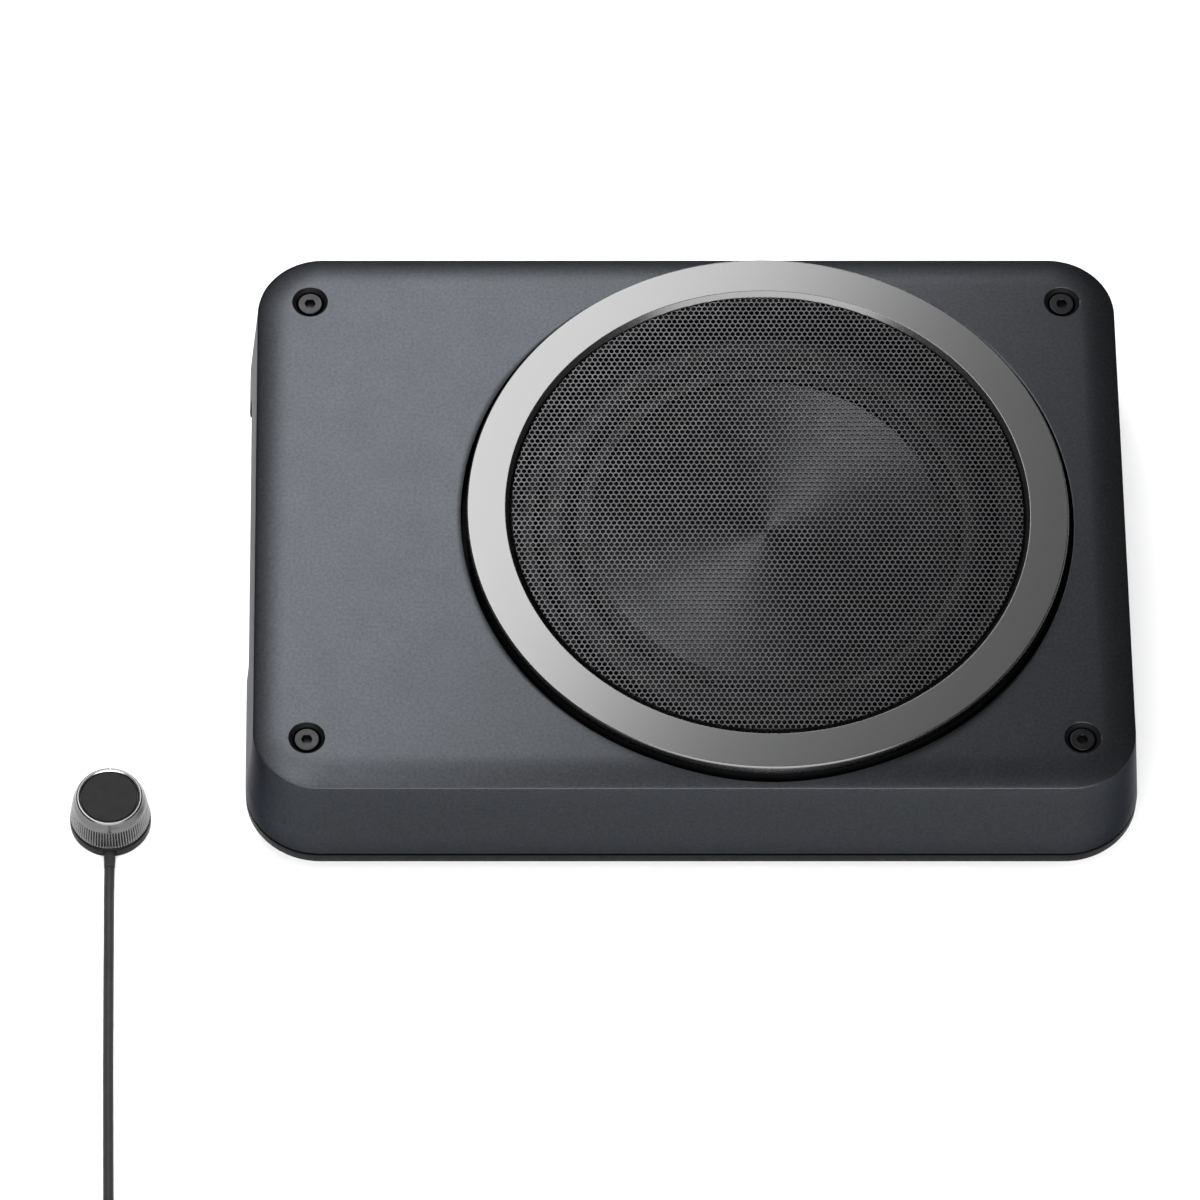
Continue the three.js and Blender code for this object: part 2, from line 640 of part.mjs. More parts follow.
function makeFuse() {
  const body = panelBlock(PANEL_FACE_X - 8.6, PANEL_FACE_X - GAP, INPUT_Y, FUSE_Z, 19, 5.1);
  const blades = [-5, 5].map((offset) => (
    panelBlock(PANEL_FACE_X - 1, PANEL_FACE_X + 9, INPUT_Y + offset, FUSE_Z, 5, 0.8)
  ));
  return join(body, ...blades);
}

function makePhaseSwitch() {
  return join(
    panelBlock(PANEL_FACE_X - 2.6, PANEL_BACK_X + 1, SWITCH_THUMB_Y, PANEL_MID_Z, 3.4, 3.2),
    panelBlock(PANEL_BACK_X + GAP, PANEL_BACK_X + 1.8, SWITCH_THUMB_Y + 0.6, PANEL_MID_Z, 7, 6),
  );
}

place(enclosure, 'connector_panel', makeConnectorPanel(), BLACK_PLASTIC);
place(
  enclosure,
  'power_socket',
  makeSocket(POWER_Y, PANEL_MID_Z, 20, 13, PANEL_FACE_X - 6, PANEL_FACE_X + 10, powerPins),
  BLACK_PLASTIC,
);
place(
  enclosure,
  'input_socket',
  makeSocket(INPUT_Y, INPUT_Z, 16, 9, PANEL_FACE_X - 3, PANEL_FACE_X + 10, inputPins),
  BLACK_PLASTIC,
);
place(
  enclosure,
  'remote_jack',
  makeSocket(JACK_Y, PANEL_MID_Z, 12, 12, PANEL_FACE_X - 1, PANEL_FACE_X + 14, jackPins),
  BLACK_PLASTIC,
);
place(enclosure, 'rca_jack_right', makeRcaJack(RCA_Y[0]), STEEL);
place(enclosure, 'rca_jack_left', makeRcaJack(RCA_Y[1]), STEEL);
place(enclosure, 'fuse', makeFuse(), FUSE_BLUE);
place(enclosure, 'gain_knob', makeTrimmer(GAIN_Y), BLACK_PLASTIC);
place(enclosure, 'lowpass_knob', makeTrimmer(LOWPASS_Y), BLACK_PLASTIC);
place(enclosure, 'phase_switch', makePhaseSwitch(), BLACK_PLASTIC);

// ---- remote bass control --------------------------------------------------------------

const POT_RADIUS = 8;
const SHAFT_RADIUS = 3;

function makeRemoteBase() {
  const cup = revolve([
    [REMOTE_RADIUS - 2, 0.9], [REMOTE_RADIUS - 0.6, 0.9], [REMOTE_RADIUS, 1.5],
    [REMOTE_RADIUS, REMOTE_BASE_HEIGHT - 0.6], [REMOTE_RADIUS - 0.6, REMOTE_BASE_HEIGHT],
    [SHAFT_RADIUS + 0.6, REMOTE_BASE_HEIGHT], [SHAFT_RADIUS + 0.6, REMOTE_BASE_HEIGHT - 1.2],
    [REMOTE_RADIUS - 2, REMOTE_BASE_HEIGHT - 1.2],
  ], SEGMENTS_MEDIUM);
  const cordNotch = block([-2.4, -REMOTE_RADIUS - 1, 0], [2.4, -REMOTE_RADIUS + 3, 5.1]);
  return cut(cup, cordNotch);
}

function makeKnob() {
  const turned = revolve([
    [SHAFT_RADIUS + 0.3, 14.5], [5.5, 14.5], [5.5, 8.5], [13.4, 8.5], [13.4, KNOB_BOTTOM_Z],
    [15.1, KNOB_BOTTOM_Z], [15.5, KNOB_BOTTOM_Z + 0.5], [14.3, 16.6], [13.6, 18.4],
    [12.9, KNOB_TOP_Z - 0.3], [12.6, KNOB_TOP_Z], [11.6, KNOB_TOP_Z],
    [11.2, KNOB_TOP_Z - 1.2], [0, KNOB_TOP_Z - 1.2], [0, 17], [SHAFT_RADIUS + 0.3, 17],
  ], SEGMENTS_MEDIUM);
  const pip = block([-0.8, 12.5, 16.4], [0.8, 14.9, 18]);
  return join(turned, pip);
}

place(remote, 'remote_base', makeRemoteBase(), BLACK_PLASTIC);
place(remote, 'remote_pad', disc(REMOTE_RADIUS - 0.7, 0, 0.6), RUBBER);
place(remote, 'remote_pot', disc(POT_RADIUS, 0.9, 4.5, 24), STEEL);
place(remote, 'pot_shaft', disc(SHAFT_RADIUS, 4.8, 16.7, 16), ALUMINIUM);
place(remote, 'remote_knob', makeKnob(), ALUMINIUM);
place(remote, 'knob_cap', disc(11, KNOB_TOP_Z - 0.9, KNOB_TOP_Z - 0.3), BLACK_PLASTIC);

// The relief runs out through the base's notch along -Y and tapers to the cord.
const RELIEF_LENGTH = 8.3;
const CORD_EXIT = [0, -(REMOTE_RADIUS - 2 + RELIEF_LENGTH), 3];
const relief = revolve([
  [0, 0], [2.1, 0], [2.1, 2.6], [2.3, 3.3], [2.1, RELIEF_LENGTH], [0, RELIEF_LENGTH],
], 12);
const reliefPlaced = relief.rotate([90, 0, 0]).translate([0, -(REMOTE_RADIUS - 2), 3]);
place(remote, 'cord_relief', reliefPlaced, RUBBER);

// ---- the remote's cord, lying on the floor ---------------------------------------------

// From the relief to where the first turn of the coil begins, about the remote's axis.
const CORD_ROUTE = [
  [0, CORD_EXIT[1] - GAP, 3], [0, -27, 2.8], [0, -33, 2.4], [0.1, -41, 2.15], [0.3, -53, 2.1],
  [0.5, -70, 2.1], [0.8, -90, 2.1], [1.1, -110, 2.1], [1.5, -130, 2.1], [1.9, -150, 2.1],
  [2.3, -170, 2.1], [2.6, -190, 2.1], [2.75, -204, 2.2], [2.75, -214, 2.4],
];

function makeCord() {
  const path = new THREE.CatmullRomCurve3(CORD_ROUTE.map((point) => new THREE.Vector3(...point)));
  const section = new THREE.Shape();
  section.absarc(0, 0, CORD_RADIUS, 0, Math.PI * 2);
  const tube = new THREE.ExtrudeGeometry(section, { steps: 22, curveSegments: 4, extrudePath: path });
  return solidOf(tube);
}

// The turns fill whole layers, but the last one, which holds only the outer columns and
// leaves a step on which the plug lies.
const COIL_OUTER = COIL_MEAN_RADIUS + (COIL_COLUMNS / 2) * CORD_PITCH;
const COIL_INNER = COIL_MEAN_RADIUS - (COIL_COLUMNS / 2) * CORD_PITCH;
const COIL_STEP_RADIUS = COIL_OUTER - 3 * CORD_PITCH;
const COIL_TOP_Z = COIL_BOTTOM_Z + COIL_LAYERS * CORD_PITCH;
const COIL_STEP_Z = COIL_TOP_Z - CORD_PITCH;

const coil = revolve([
  [COIL_INNER, COIL_BOTTOM_Z], [COIL_OUTER, COIL_BOTTOM_Z], [COIL_OUTER, COIL_TOP_Z],
  [COIL_STEP_RADIUS, COIL_TOP_Z], [COIL_STEP_RADIUS, COIL_STEP_Z], [COIL_INNER, COIL_STEP_Z],
], SEGMENTS_MEDIUM).translate([...COIL_CENTRE, 0]);

// A thin strap round the bundle, at the right of the coil.
function makeTie() {
  const clearance = 0.4;
  const strap = 0.5;
  const half = 3.5;
  const inner = [COIL_INNER - 2 * clearance, COIL_OUTER + clearance];
  const outerBlock = block(
    [inner[0] - strap, -half, COIL_BOTTOM_Z - clearance - strap],
    [inner[1] + strap, half, COIL_TOP_Z + clearance + strap],
  );
  const hole = block(
    [inner[0], -half - 1, COIL_BOTTOM_Z - clearance],
    [inner[1], half + 1, COIL_TOP_Z + clearance],
  );
  return cut(outerBlock, hole).translate([...COIL_CENTRE, 0]);
}

// A modular plug on the coil's step, its latch on top.
function makePlug() {
  const radius = 19.9;
  const z = COIL_STEP_Z + GAP;
  return join(
    block([-6.2, -radius - 4.8, z], [6.2, -radius + 4.8, z + 6.6]),
    block([-6, -radius - 1.6, z + 6.3], [4, -radius + 1.6, z + 7.6]),
  ).translate([...COIL_CENTRE, 0]);
}

place(remote, 'remote_cord', makeCord(), RUBBER);
place(remote, 'cord_coil', coil, RUBBER);
place(remote, 'cord_tie', makeTie(), BLACK_PLASTIC);
place(remote, 'cord_plug', makePlug(), BLACK_PLASTIC);

export default subwoofer;
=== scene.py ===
import math

import bmesh
import bpy
import numpy as np
from mathutils import Matrix, Vector


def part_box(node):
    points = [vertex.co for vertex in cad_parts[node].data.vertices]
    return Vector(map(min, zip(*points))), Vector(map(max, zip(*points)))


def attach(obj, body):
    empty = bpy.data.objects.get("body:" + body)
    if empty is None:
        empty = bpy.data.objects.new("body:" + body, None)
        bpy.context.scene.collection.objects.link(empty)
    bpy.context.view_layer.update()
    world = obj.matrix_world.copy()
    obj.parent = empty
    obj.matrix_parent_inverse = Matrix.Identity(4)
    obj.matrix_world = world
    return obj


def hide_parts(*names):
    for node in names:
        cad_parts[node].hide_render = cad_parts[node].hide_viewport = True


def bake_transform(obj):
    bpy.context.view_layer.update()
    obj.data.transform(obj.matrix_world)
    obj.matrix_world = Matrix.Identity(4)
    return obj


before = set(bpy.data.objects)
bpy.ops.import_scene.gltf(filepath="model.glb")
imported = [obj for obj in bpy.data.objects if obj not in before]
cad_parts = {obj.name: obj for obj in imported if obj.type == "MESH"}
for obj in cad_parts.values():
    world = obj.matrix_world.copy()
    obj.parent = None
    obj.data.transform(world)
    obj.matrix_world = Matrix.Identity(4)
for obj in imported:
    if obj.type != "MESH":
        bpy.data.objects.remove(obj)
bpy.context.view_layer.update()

# The looks of a powered car subwoofer: a drafted metallic case with a ringed, grilled driver,
# a connector bay in its left end, and a wired rotary bass control with its cord.
# Shapes are written in millimetres, in the CAD model's frame, and turned to metres once, in
# add_piece(). Everything rests on the floor, z = 0.

MM = 0.001


def node_box(node):
    """The lowest and highest corner of a CAD node, in millimetres."""
    low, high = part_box(node)
    return np.array(low) / MM, np.array(high) / MM


# ---- places, read from the frame -----------------------------

cover_low, cover_high = node_box("top_cover")
ring_low, ring_high = node_box("trim_ring")
grille_low, grille_high = node_box("grille")
bay_low, bay_high = node_box("connector_panel")
base_low, base_high = node_box("remote_base")
relief_low, relief_high = node_box("cord_relief")
coil_low, coil_high = node_box("cord_coil")

BODY_X = (cover_low[0] + cover_high[0]) / 2
DRIVER_X = (ring_low[0] + ring_high[0]) / 2 - BODY_X  # from the middle of the case
REMOTE = ((base_low + base_high) / 2)[:2]
TOP_Z = cover_high[2]
SKIRT_Z = cover_low[2]
HALF_WIDTH = (cover_high[0] - cover_low[0]) / 2
HALF_DEPTH = (cover_high[1] - cover_low[1]) / 2

# ---- dimensions in millimetres -------------------------------

BODY_CORNER = 29.1
DRAFT = 3.6
ROLL_WIDTH = 14
ROLL_DROP = 2.4
CREASE_ROUND = 0.42
WALL = 2.6
WELL_RADIUS = 119
LEDGE_RADIUS = 96
LEDGE_Z = 52.5
LEDGE_THICKNESS = 2.6
SCREW_X, SCREW_Y = 148.3, 100.3
RECESS_RADIUS = 6.95
RING_OUTER, RING_INNER = 116.6, 101.8
RING_BEVEL = 2
GRILLE_RADIUS = 99.3
CORD_DIAMETER = 4.0
CORD_PITCH = 4.1
GAP = 0.3  # between pieces that don't touch
DRIVER_SEGMENTS = 200


# ---- mesh helpers --------------------------------------------


def new_object(name, data):
    thing = bpy.data.objects.new(name, data)
    bpy.context.scene.collection.objects.link(thing)
    return thing


def add_piece(name, node, shape, looks, slot="black_plastic", body="housing", pick=None, sharp=32):
    """A mesh object that stands for a CAD node, from (vertices, faces) in millimetres.
    pick(centres) gives each face its look's number."""
    verts, faces = shape
    mesh = bpy.data.meshes.new(name)
    mesh.from_pydata((np.asarray(verts, float) * MM).tolist(), [], faces)
    mesh.update()
    for look in looks if isinstance(looks, list) else [looks]:
        mesh.materials.append(look)
    if pick is not None:
        choose_looks(mesh, pick)
    shade(mesh, sharp)
    piece = new_object(name, mesh)
    if body:
        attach(piece, body)
    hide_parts(node)
    return piece


def choose_looks(mesh, pick):
    centres = np.array([p.center for p in mesh.polygons]) / MM
    mesh.polygons.foreach_set("material_index", np.asarray(pick(centres), dtype=np.int32))


def shade(mesh, sharp):
    """Smooth, but for edges of more than that many degrees."""
    mesh.shade_smooth()
    mesh.set_sharp_from_angle(angle=math.radians(sharp))


def rounded(profile, radius=0.3, steps=3, closed=True):
    """The profile with its corners rounded off, but for points on the axis. Long straights get
    a point next to each rounding, so that the smooth shading doesn't spread over them."""
    points = [np.array(p, float) for p in profile]
    count = len(points)
    result = []
    for i, point in enumerate(points):
        on_end = not closed and i in (0, count - 1)
        if on_end or point[0] == 0:
            result.append(tuple(point))
            continue
        before = points[i - 1] - point
        after = points[(i + 1) % count] - point
        reach_a = min(radius, 0.45 * np.linalg.norm(before))
        reach_b = min(radius, 0.45 * np.linalg.norm(after))
        start = point + before / np.linalg.norm(before) * reach_a
        end = point + after / np.linalg.norm(after) * reach_b
        if np.linalg.norm(before) > 6 * radius:
            result.append(tuple(2 * start - point))
        for k in range(steps + 1):
            t = k / steps
            result.append(tuple((1 - t) ** 2 * start + 2 * t * (1 - t) * point + t * t * end))
        if np.linalg.norm(after) > 6 * radius:
            result.append(tuple(2 * end - point))
    return result


def lathe(profile, segments=96, matrix=None, bend=None):
    """Vertices and faces of a closed solid of revolution about Z from (radius, z) points."""
    area = sum(a[0] * b[1] - b[0] * a[1] for a, b in zip(profile, profile[1:] + profile[:1]))
    if area < 0:
        profile = profile[::-1]
    if profile[0][0] != 0 and any(r == 0 for r, _ in profile):
        while profile[0][0] != 0 or profile[-1][0] != 0:
            profile = profile[1:] + profile[:1]
    angles = np.arange(segments) * 2 * math.pi / segments
    verts, rows = [], []
    for r, z in profile:
        first = len(verts)
        if r == 0:
            verts.append((0, 0, z))
            rows.append([first] * segments)
        else:
            verts += [(r * math.cos(a), r * math.sin(a), z) for a in angles]
            rows.append(list(range(first, first + segments)))
    faces = []
    on_axis = profile[0][0] == 0 and profile[-1][0] == 0
    for i in range(len(rows) - (1 if on_axis else 0)):
        low, high = rows[i], rows[(i + 1) % len(rows)]
        for k in range(segments):
            n = (k + 1) % segments
            corners = [low[k], low[n], high[n], high[k]]
            face = [c for j, c in enumerate(corners) if c != corners[j - 1]]
            if len(face) > 2:
                faces.append(face)
    verts = np.array(verts, float)
    if bend is not None:
        verts = bend(verts)
    return transformed(verts, matrix), faces


def transformed(verts, matrix):
    verts = np.asarray(verts, float)
    if matrix is None:
        return verts
    m = np.array(matrix)
    return verts @ m[:3, :3].T + m[:3, 3]


def at(x, y, z=0):
    return Matrix.Translation((x, y, z))


def skin(rings, capped=True):
    """A closed skin over rings of equal length, each a list of points."""
    size = len(rings[0])
    faces = []
    count = len(rings)
    for i in range(count - (1 if capped else 0)):
        a, b = i * size, ((i + 1) % count) * size
        for k in range(size):
            n = (k + 1) % size
            faces.append((a + k, a + n, b + n, b + k))
    if capped:
        faces.append(tuple(range(size - 1, -1, -1)))
        faces.append(tuple(range((count - 1) * size, count * size)))
    return np.concatenate([np.asarray(r, float) for r in rings]), faces


def inverted(shape):
    verts, faces = shape
    return verts, [f[::-1] for f in faces]


def box_mesh(low, high, round_by=0.3, steps=2):
    """A box with rounded edges, as vertices and faces."""
    bm = bmesh.new()
    bmesh.ops.create_cube(bm, size=1)
    low, high = np.array(low, float), np.array(high, float)
    for v in bm.verts:
        v.co = Vector((low + high) / 2 + np.array(v.co) * (high - low))
    reach = min(round_by, 0.45 * float((high - low).min()))
    if reach > 0:
        bmesh.ops.bevel(bm, geom=bm.edges[:], offset=reach, segments=steps, profile=0.5, affect="EDGES")
    verts = np.array([v.co for v in bm.verts])
    faces = [[v.index for v in f.verts] for f in bm.faces]
    bm.free()
    return verts, faces


def merged(*parts):
    """Several (vertices, faces) as one."""
    verts, faces, first = [], [], 0
    for part_verts, part_faces in parts:
        verts.append(np.asarray(part_verts, float))
        faces += [[first + i for i in f] for f in part_faces]
        first += len(part_verts)
    return np.concatenate(verts), faces


def carve(piece, *cutters, sharp=32):
    """Cuts solids given as (vertices, faces) out of a piece. They may not overlap each other."""
    verts, faces = merged(*cutters)
    mesh = bpy.data.meshes.new("cutter")
    mesh.from_pydata((verts * MM).tolist(), [], faces)
    cutter = new_object("cutter", mesh)
    modifier = piece.modifiers.new("carve", "BOOLEAN")
    modifier.operation = "DIFFERENCE"
    modifier.solver = "EXACT"
    modifier.object = cutter
    graph = bpy.context.evaluated_depsgraph_get()
    result = bpy.data.meshes.new_from_object(piece.evaluated_get(graph))
    piece.modifiers.clear()
    old, piece.data = piece.data, result
    bpy.data.meshes.remove(old)
    bpy.data.objects.remove(cutter)
    bpy.data.meshes.remove(mesh)
    shade(piece.data, sharp)


# ---- materials -----------------------------------------------


class Look:
    """A Principled material under construction, with the few nodes that these finishes share."""

    def __init__(self, name, color, roughness, metallic=0.0, **sockets):
        self.material = bpy.data.materials.new(name)
        self.material.use_nodes = True
        self.nodes = self.material.node_tree.nodes
        self.links = self.material.node_tree.links
        self.shader = self.nodes["Principled BSDF"]
        self.color = (*color, 1.0)
        self.roughness = roughness
        self.height = None
        sockets.update(Base_Color=self.color, Roughness=roughness, Metallic=metallic)
        for socket, value in sockets.items():
            self.shader.inputs[socket.replace("_", " ")].default_value = value
        self.place = self.node("TexCoord", "Object")

    def node(self, kind, output, *values, operation=None, **named):
        """An output of a new node. Its inputs are values or other outputs, in the node's order
        or by name, with _ for a space."""
        node = self.nodes.new("ShaderNode" + kind)
        if operation:
            node.operation = operation
        inputs = list(zip(node.inputs, values))
        inputs += [(node.inputs[name.replace("_", " ")], value) for name, value in named.items()]
        for socket, value in inputs:
            if isinstance(value, bpy.types.NodeSocket):
                self.links.new(value, socket)
            else:
                socket.default_value = value
        return node.outputs[output]

    def math(self, operation, *values):
        return self.node("Math", 0, *values, operation=operation)

    def polar(self, centre, along_radius, along_angle):
        """Coordinates that follow circles about a vertical axis through centre (metres)."""
        shift = self.node("VectorMath", 0, self.place, centre, operation="SUBTRACT")
        x, y, z = self.node("SeparateXYZ", 0, shift).node.outputs
        turn = self.math("ARCTAN2", y, x)
        squares = [self.math("MULTIPLY", a, a) for a in (x, y)]
        radius = self.math("SQRT", self.math("ADD", *squares))
        return self.node("CombineXYZ", 0, self.math("MULTIPLY", radius, along_radius),
                         self.math("MULTIPLY", turn, along_angle),
                         self.math("MULTIPLY", z, along_radius))

    def noise(self, vector, scale, detail=2.0, rough=0.5):
        return self.node("TexNoise", "Fac", Vector=vector, Scale=scale, Detail=detail, Roughness=rough)

    def spread(self, value, low, high):
        """Maps the middle half of a noise to a range."""
        return self.node("MapRange", "Result", Value=value, From_Min=0.25, From_Max=0.75,
                         To_Min=low, To_Max=high)

    def vary_color(self, value, darkest, lightest):
        """Scales the base colour by a factor that follows value."""
        base = self.shader.inputs["Base Color"]
        source = base.links[0].from_socket if base.is_linked else self.color[:3]
        factor = self.spread(value, darkest, lightest)
        self.links.new(self.node("VectorMath", 0, source, Scale=factor, operation="SCALE"), base)

    def vary_roughness(self, value, less, more):
        result = self.spread(value, self.roughness - less, self.roughness + more)
        self.links.new(result, self.shader.inputs["Roughness"])

    def bump(self, value, depth, strength=1.0):
        """Adds a relief of that depth in millimetres."""
        below = {} if self.height is None else {"Normal": self.height}
        self.height = self.node("Bump", "Normal", Strength=strength, Distance=depth * MM,
                                Height=value, **below)
        self.links.new(self.height, self.shader.inputs["Normal"])

    def turned(self, amount):
        """Stretches the highlights across the marks of turning about Z."""
        tangent = self.node("Tangent", 0)
        tangent.node.direction_type = "RADIAL"
        tangent.node.axis = "Z"
        self.links.new(tangent, self.shader.inputs["Tangent"])
        self.shader.inputs["Anisotropic"].default_value = amount
        self.shader.inputs["Anisotropic Rotation"].default_value = 0.25


def paint_look():
    """Dark metallic paint with a fine flake."""
    look = Look("case_paint", (0.0375, 0.0397, 0.0438), 0.36, 1.0,
                Specular_Tint=(0.37, 0.37, 0.38, 1))
    look.vary_color(look.noise(look.place, 900, 2), 0.84, 1.16)
    look.vary_roughness(look.noise(look.place, 60, 3), 0.015, 0.015)
    look.bump(look.node("TexVoronoi", "Color", Vector=look.place, Scale=2600), 0.012, 0.35)
    look.bump(look.noise(look.place, 420, 2), 0.02, 0.3)
    return look.material


def moulded_look(name, color=(0.014, 0.014, 0.016), roughness=0.5, grain=1500, depth=0.02, shine=0.3):
    """Moulded plastic with a spark-eroded grain."""
    look = Look(name, color, roughness, Specular_IOR_Level=shine)
    look.vary_color(look.noise(look.place, 120, 4), 0.86, 1.15)
    look.vary_roughness(look.noise(look.place, 300, 2), 0.05, 0.07)
    look.bump(look.noise(look.place, grain, 3), depth, 0.5)
    return look.material


def rubber_look():
    look = Look("rubber", (0.017, 0.017, 0.017), 0.78)
    look.vary_color(look.noise(look.place, 90, 4), 0.8, 1.25)
    look.vary_roughness(look.noise(look.place, 500, 2), 0.08, 0.1)
    look.bump(look.noise(look.place, 1100, 2), 0.03, 0.4)
    return look.material


def turned_look(name, color, roughness, centre, marks, depth, amount, streak=0.06):
    """Metal with the fine concentric marks of turning or brushing round an axis."""
    look = Look(name, color, roughness, 1.0)
    rings = look.noise(look.polar(centre, 1.0, 0.02), marks, 3, 0.6)
    look.vary_color(rings, 1 - streak, 1 + streak)
    look.vary_roughness(rings, 0.5 * streak, 0.5 * streak)
    look.bump(rings, depth, 0.5)
    look.turned(amount)
    return look.material


def polished_look(name, color, roughness):
    look = Look(name, color, roughness, 1.0)
    look.vary_roughness(look.noise(look.place, 700, 3), 0.02, 0.04)
    look.bump(look.noise(look.place, 1600, 2), 0.002, 0.5)
    return look.material


def metal_look(name, color, roughness=0.4, grain=900, depth=0.01):
    look = Look(name, color, roughness, 1.0)
    look.vary_color(look.noise(look.place, 70, 4), 0.85, 1.12)
    look.vary_roughness(look.noise(look.place, 250, 3), 0.08, 0.08)
    look.bump(look.noise(look.place, grain, 3), depth, 0.5)
    return look.material


def woven_look(name, color):
    """Resin-stiffened cloth: two crossing sets of threads."""
    look = Look(name, color, 0.8)
    threads = []
    for direction in "XY":
        wave = look.node("TexWave", "Fac", Vector=look.place, Scale=260, Distortion=0.6)
        wave.node.bands_direction = direction
        threads.append(wave)
    weave = look.math("MULTIPLY", *threads)
    look.vary_color(weave, 0.8, 1.1)
    look.bump(weave, 0.15, 0.6)
    return look.material


def board_look(name):
    """Green solder mask over a grid of copper tracks."""
    look = Look(name, (0.01, 0.10, 0.04), 0.32)
    tracks = look.node("TexBrick", "Color", Vector=look.place, Scale=90, Color1=(0.01, 0.10, 0.04, 1),
                       Color2=(0.02, 0.15, 0.06, 1), Mortar=(0.03, 0.20, 0.08, 1))
    look.links.new(tracks, look.shader.inputs["Base Color"])
    look.vary_color(look.noise(look.place, 40, 3), 0.85, 1.1)
    look.bump(tracks.node.outputs["Fac"], 0.03, 0.6)
    return look.material


driver_centre = ((BODY_X + DRIVER_X) * MM, 0, 0)
remote_centre = (REMOTE[0] * MM, REMOTE[1] * MM, 0)

PAINT = paint_look()
BLACK = moulded_look("black_plastic")
BLACK_FINE = moulded_look("black_plastic_fine", (0.014, 0.014, 0.015), 0.38, 2400, 0.008)
RUBBER = rubber_look()
RING_FACE = turned_look("ring_satin", (0.121, 0.121, 0.121), 0.3, driver_centre, 3000, 0.0005, 0.35,
                        streak=0.015)
RING_EDGE = polished_look("ring_polished", (0.11, 0.11, 0.11), 0.25)
GRILLE_STEEL = metal_look("grille_black", (0.070, 0.070, 0.073), 0.48)
SCREW_BLACK = metal_look("screw_black", (0.022, 0.022, 0.0235), 0.36, 1400, 0.004)
# The cone's brushed metal is coloured almost black: painted shade for its place under the grille.
CONE_METAL_PAINTED_SHADE = turned_look("cone_brushed_painted_shade", (0.012, 0.012, 0.0125), 0.33, driver_centre, 3400, 0.01, 0.9)
STEEL = metal_look("bare_steel", (0.45, 0.45, 0.46), 0.38)
ALUMINIUM = metal_look("bare_aluminium", (0.6, 0.6, 0.61), 0.42)
COPPER = metal_look("enamelled_copper", (0.7, 0.28, 0.13), 0.3)
FERRITE = moulded_look("ferrite", (0.03, 0.03, 0.033), 0.62, 500, 0.05)
KNOB_METAL = turned_look("knob_satin", (0.12, 0.12, 0.12), 0.2, remote_centre, 5000, 0.002, 0.3)
KNOB_RIM = polished_look("knob_polished", (0.6, 0.6, 0.6), 0.16)
# Black rubber, darkened further as painted shade for its place under the grille.
SURROUND_RUBBER_AND_SHADE = moulded_look("surround_rubber_and_shade", (0.002, 0.002, 0.002), 0.35, 1200, 0.006, 0.15)
# Near-black matt plastic: the pan's own colour, and painted shade in the cover's well and screw recesses,
# on the wall under the ring, in the slit round the grille and on the grille's hole walls and back.
BLACK_AND_PAINTED_SHADE = moulded_look("black_and_painted_shade", (0.003, 0.003, 0.0033), 0.55, 1500, 0.02, 0.08)
SWITCH_GREY = moulded_look("switch_grey", (0.28, 0.28, 0.29), 0.45)
CAP_BLACK = moulded_look("cap_black", (0.010, 0.010, 0.0103), 0.55, 2600, 0.01, 0.12)
BASE_BLACK = moulded_look("base_black", (0.003, 0.003, 0.0032), 0.5, 2400, 0.006, 0.1)
PLUG_PLASTIC = moulded_look("plug_plastic", (0.34, 0.35, 0.36), 0.3, 900, 0.01)
POINTER = moulded_look("pointer_white", (0.72, 0.72, 0.7), 0.5)
JACK_RED = moulded_look("jack_red", (0.42, 0.02, 0.02), 0.4)
JACK_WHITE = moulded_look("jack_white", (0.72, 0.72, 0.7), 0.4)
FUSE_BLUE = moulded_look("fuse_blue", (0.02, 0.10, 0.42), 0.28, 900, 0.008)
CONTACT = metal_look("plated_contact", (0.62, 0.60, 0.55), 0.25, 1200, 0.004)
BASKET_STEEL = metal_look("basket_enamel", (0.05, 0.05, 0.052), 0.4, 700, 0.02)
FOAM = moulded_look("gasket_foam", (0.03, 0.03, 0.03), 0.9, 420, 0.12)
CLOTH = woven_look("spider_cloth", (0.42, 0.27, 0.10))
BOARD = board_look("circuit_board")
EPOXY = moulded_look("transistor_epoxy", (0.02, 0.02, 0.02), 0.6, 900, 0.04)
SLEEVE = moulded_look("capacitor_sleeve", (0.02, 0.03, 0.09), 0.32, 200, 0.02)


# ---- camera, light and floor ---------------------------------

CAMERA_TILT = math.radians(58.05)  # how steeply it looks down
CAMERA_DISTANCE = 3.336
CAMERA_AIM = Vector((BODY_X * MM - 0.1079, -0.0274, TOP_Z * MM - 0.0171))
CAMERA_LENS = 257.7
CAMERA_SHIFT = (0.1563, -0.0005)
HORIZON, ZENITH = 0.04, 0.33  # the studio's own light, from its walls to its ceiling


def make_camera():
    data = bpy.data.cameras.new("camera")
    data.lens = CAMERA_LENS
    data.sensor_width = 36
    data.shift_x, data.shift_y = CAMERA_SHIFT
    data.clip_end = 50
    camera = new_object("camera", data)
    back = Vector((0, -math.cos(CAMERA_TILT), math.sin(CAMERA_TILT)))
    camera.location = CAMERA_AIM + back * CAMERA_DISTANCE
    camera.rotation_euler = (math.pi / 2 - CAMERA_TILT, 0, 0)
    bpy.context.scene.camera = camera


def aimed(light, direction):
    light.rotation_euler = Vector(direction).to_track_quat("-Z", "Y").to_euler()


def softbox(name, centre, size, radiance, turn=0.0, target=None):
    """A rectangular light that faces down, or towards a target."""
    data = bpy.data.lights.new(name, "AREA")
    data.shape = "RECTANGLE"
    data.size, data.size_y = size
    data.energy = radiance * math.pi * size[0] * size[1]
    light = new_object(name, data)
    light.location = centre
    light.rotation_euler = (0, 0, math.radians(turn))
    if target is not None:
        aimed(light, Vector(target) - Vector(centre))


